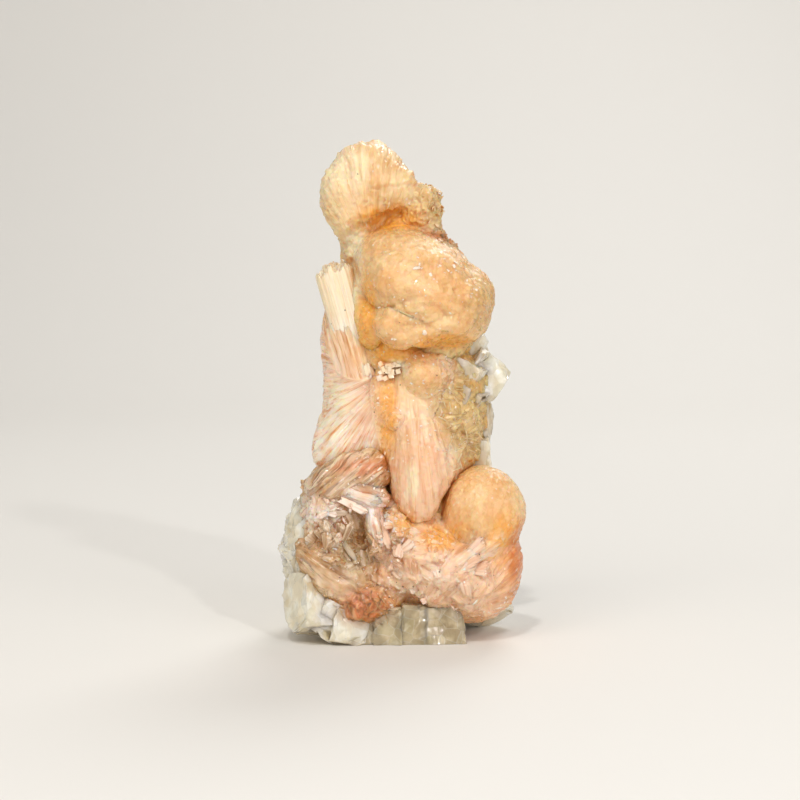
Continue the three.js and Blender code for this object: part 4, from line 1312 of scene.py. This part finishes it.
# Name, pieces that it grows on, zones, crystal and material. Then how many for each square cm,
# their width and how many times that they are long, how far they stand up, drift together and
# spread, how large a patch drifts together, and the seed.
for row in (
    ("ridge_plates", [lower], [((-13.0, -13, 25.4), (4.4, 7, 3.6))], PLATE, pink_plates,
     30, 1.9, 1.2, 0.12, 1.6, 0.7, 5, 5),
    ("point_plates", [lower], [((-1.4, -15, 19.4), (3.6, 7, 5))], PLATE, pink_plates,
     28, 2.0, 1.2, 0.16, 1.6, 0.7, 5, 6),
    ("foot_plates", [lower], [((4.4, -17, 18.8), (2.6, 5, 2)), ((10, -16, 10.6), (8, 8, 5))],
     PLATE, pink_plates, 9, 2.1, 1.1, 0.06, 2.0, 0.5, 5, 2),
    ("hollow_plates", [lower], [((-8.6, -14, 19.6), (4.6, 7, 6.4)), ((-14.4, -14, 20), (3.4, 7, 4))],
     PLATE, brown_laths, 14, 3.0, 1.2, 0.0, 2.6, 0.3, 6, 21),
    ("orange_needles", [lower], [((-6.6, -14, 8), (6, 8, 4.4))], NEEDLE, stained,
     90, 0.18, 14.0, 0.04, 2.6, 0.3, 5, 6),
    ("nest_needles", [middle], [((12.4, -11, 43.4), (4.8, 6, 11.6))], NEEDLE, pale_needles,
     90, 0.24, 7.0, 0.0, 2.8, 0.4, 4, 7),
    ("rim_grains", [upper], [((10, -2, 79.4), (9, 6, 2.4))], GRAIN, stained,
     120, 0.4, 1.2, 0.5, 1.0, 0.6, 3, 8),
    ("shoulder_grains", [upper], [((6.0, -3, 85), (4.6, 8, 6.6))], LATH, pale_grains,
     40, 0.6, 1.3, 0.1, 1.8, 0.4, 3, 10),
    # Painted glints: white chips of pearly stilbite laid where the light would spark.
    ("ball_glints", [upper],
     [((8, -16, 73.6), (6, 6, 1.3)), ((15, -14, 69), (2.0, 6, 2.4)), ((3, -16, 60.6), (5, 6, 0.9))],
     LATH, bright, 52, 0.54, 1.2, 0.02, 1.6, 0.3, 3, 9),
    # Painted glints, low and high: white chips of pearly stilbite.
    ("glints_low", [lower, middle], LOW_FRONT, LATH, bright, 34, 0.3, 1.5, 0.0, 2.4, 0.4, 3, 12),
    ("glints_high", [upper], FRONT_HALF, LATH, bright, 9, 0.26, 1.6, 0.05, 2.4, 0.4, 3, 13),
    ("specks_low", [lower], [((15, -15, 23.4), (4, 5, 3)), ((2, -17, 12), (16, 6, 8))],
     GRAIN, dark_specks, 7, 0.2, 1.2, 0.4, 1.0, 0.5, 3, 14),
    ("specks_high", [upper], [((12, -8, 77), (5, 6, 3))], GRAIN, dark_specks,
     16, 0.2, 1.2, 0.4, 1.0, 0.5, 3, 15),
    ("back_grains", [middle, lower], [((0, 19, 30), (24, 12, 44))], BLOCK, clear_green,
     12, 2.2, 1.1, 0.7, 0.8, 0.5, 6, 11, 0.0, "apophyllite"),
):
    crust(*row)

# ---- camera, floor and light, in metres ----

TARGET = Vector((-0.000173, -0.000625, 0.047))
DISTANCE = 0.4444
RISE = math.radians(5)
eye = bpy.data.cameras.new("camera")
eye.lens = 100
eye.sensor_width = 36
eye.clip_start = 0.01
camera = placed("camera", eye)
camera.location = TARGET + DISTANCE * Vector((0, -math.cos(RISE), math.sin(RISE)))
camera.rotation_euler = (math.radians(90) - RISE, 0, 0)
bpy.context.scene.camera = camera


def paper(half=1.6, front=-1.2, bend=0.45, radius=0.3, top=1.6, steps=12):
    """A pale paper sweep: floor, curve and wall in one sheet."""
    profile = [(front, 0.0), (bend, 0.0)]
    for step in range(1, steps + 1):
        turn = math.radians(90 * step / steps)
        profile.append((bend + radius * math.sin(turn), radius - radius * math.cos(turn)))
    profile.append((bend + radius, top))
    points = [(x, y, z) for x in (-half, half) for y, z in profile]
    count = len(profile)
    mesh = bpy.data.meshes.new("paper_sweep")
    mesh.from_pydata(points, [], [(k, k + count, k + count + 1, k + 1) for k in range(count - 1)])
    mesh.polygons.foreach_set("use_smooth", [True] * (count - 1))
    # Matte pale paper: plain, with a fine tooth that keeps it from looking like plastic.
    material, tree = new_material("matte pale paper")
    place = add(tree, "ShaderNodeTexCoord").outputs["Object"]
    tooth = add(tree, "ShaderNodeTexNoise", {"Vector": place, "Scale": 900.0, "Detail": 2.0})
    normal = bumped(tree, [(0.1, 0.2, tooth)])
    surfaced(tree, {"Base Color": colour("E9E6E0"), "Roughness": 0.8, "Normal": normal})
    mesh.materials.append(material)
    placed("paper_sweep", mesh)


def softbox(name, place, size, power, warmth="FFFFFF"):
    """A soft round light that faces the specimen's middle."""
    lamp = bpy.data.lights.new(name, "AREA")
    lamp.shape = "DISK"
    lamp.size = size
    lamp.energy = power
    lamp.spread = math.pi
    lamp.color = colour(warmth)[:3]
    holder = placed(name, lamp)
    holder.location = place
    holder.rotation_euler = (Vector((0, 0, 0.05)) - Vector(place)).to_track_quat("-Z", "Y").to_euler()


paper()
softbox("key", (-0.3, -0.55, 0.6), 0.5, 1.7, "FFF8EE")
softbox("fill", (0.55, -0.6, 0.25), 0.55, 1.4, "FBF9FF")
softbox("left_fill", (-0.6, -0.4, 0.14), 0.5, 0.5, "FFFAF2")
softbox("back_rim", (0.2, 0.5, 0.6), 0.4, 2.2)
# Two small hard lights, which the crystal ends throw back as sparks.
softbox("sparkle", (-0.08, -0.5, 0.7), 0.04, 1.5)
softbox("sparkle_right", (0.3, -0.6, 0.4), 0.04, 1.1)
world = bpy.data.worlds.new("studio")
world.use_nodes = True
background = world.node_tree.nodes["Background"].inputs
background["Color"].default_value = colour("F2F1F0")
background["Strength"].default_value = 0.36
bpy.context.scene.world = world
bpy.context.scene.view_settings.view_transform = "Standard"
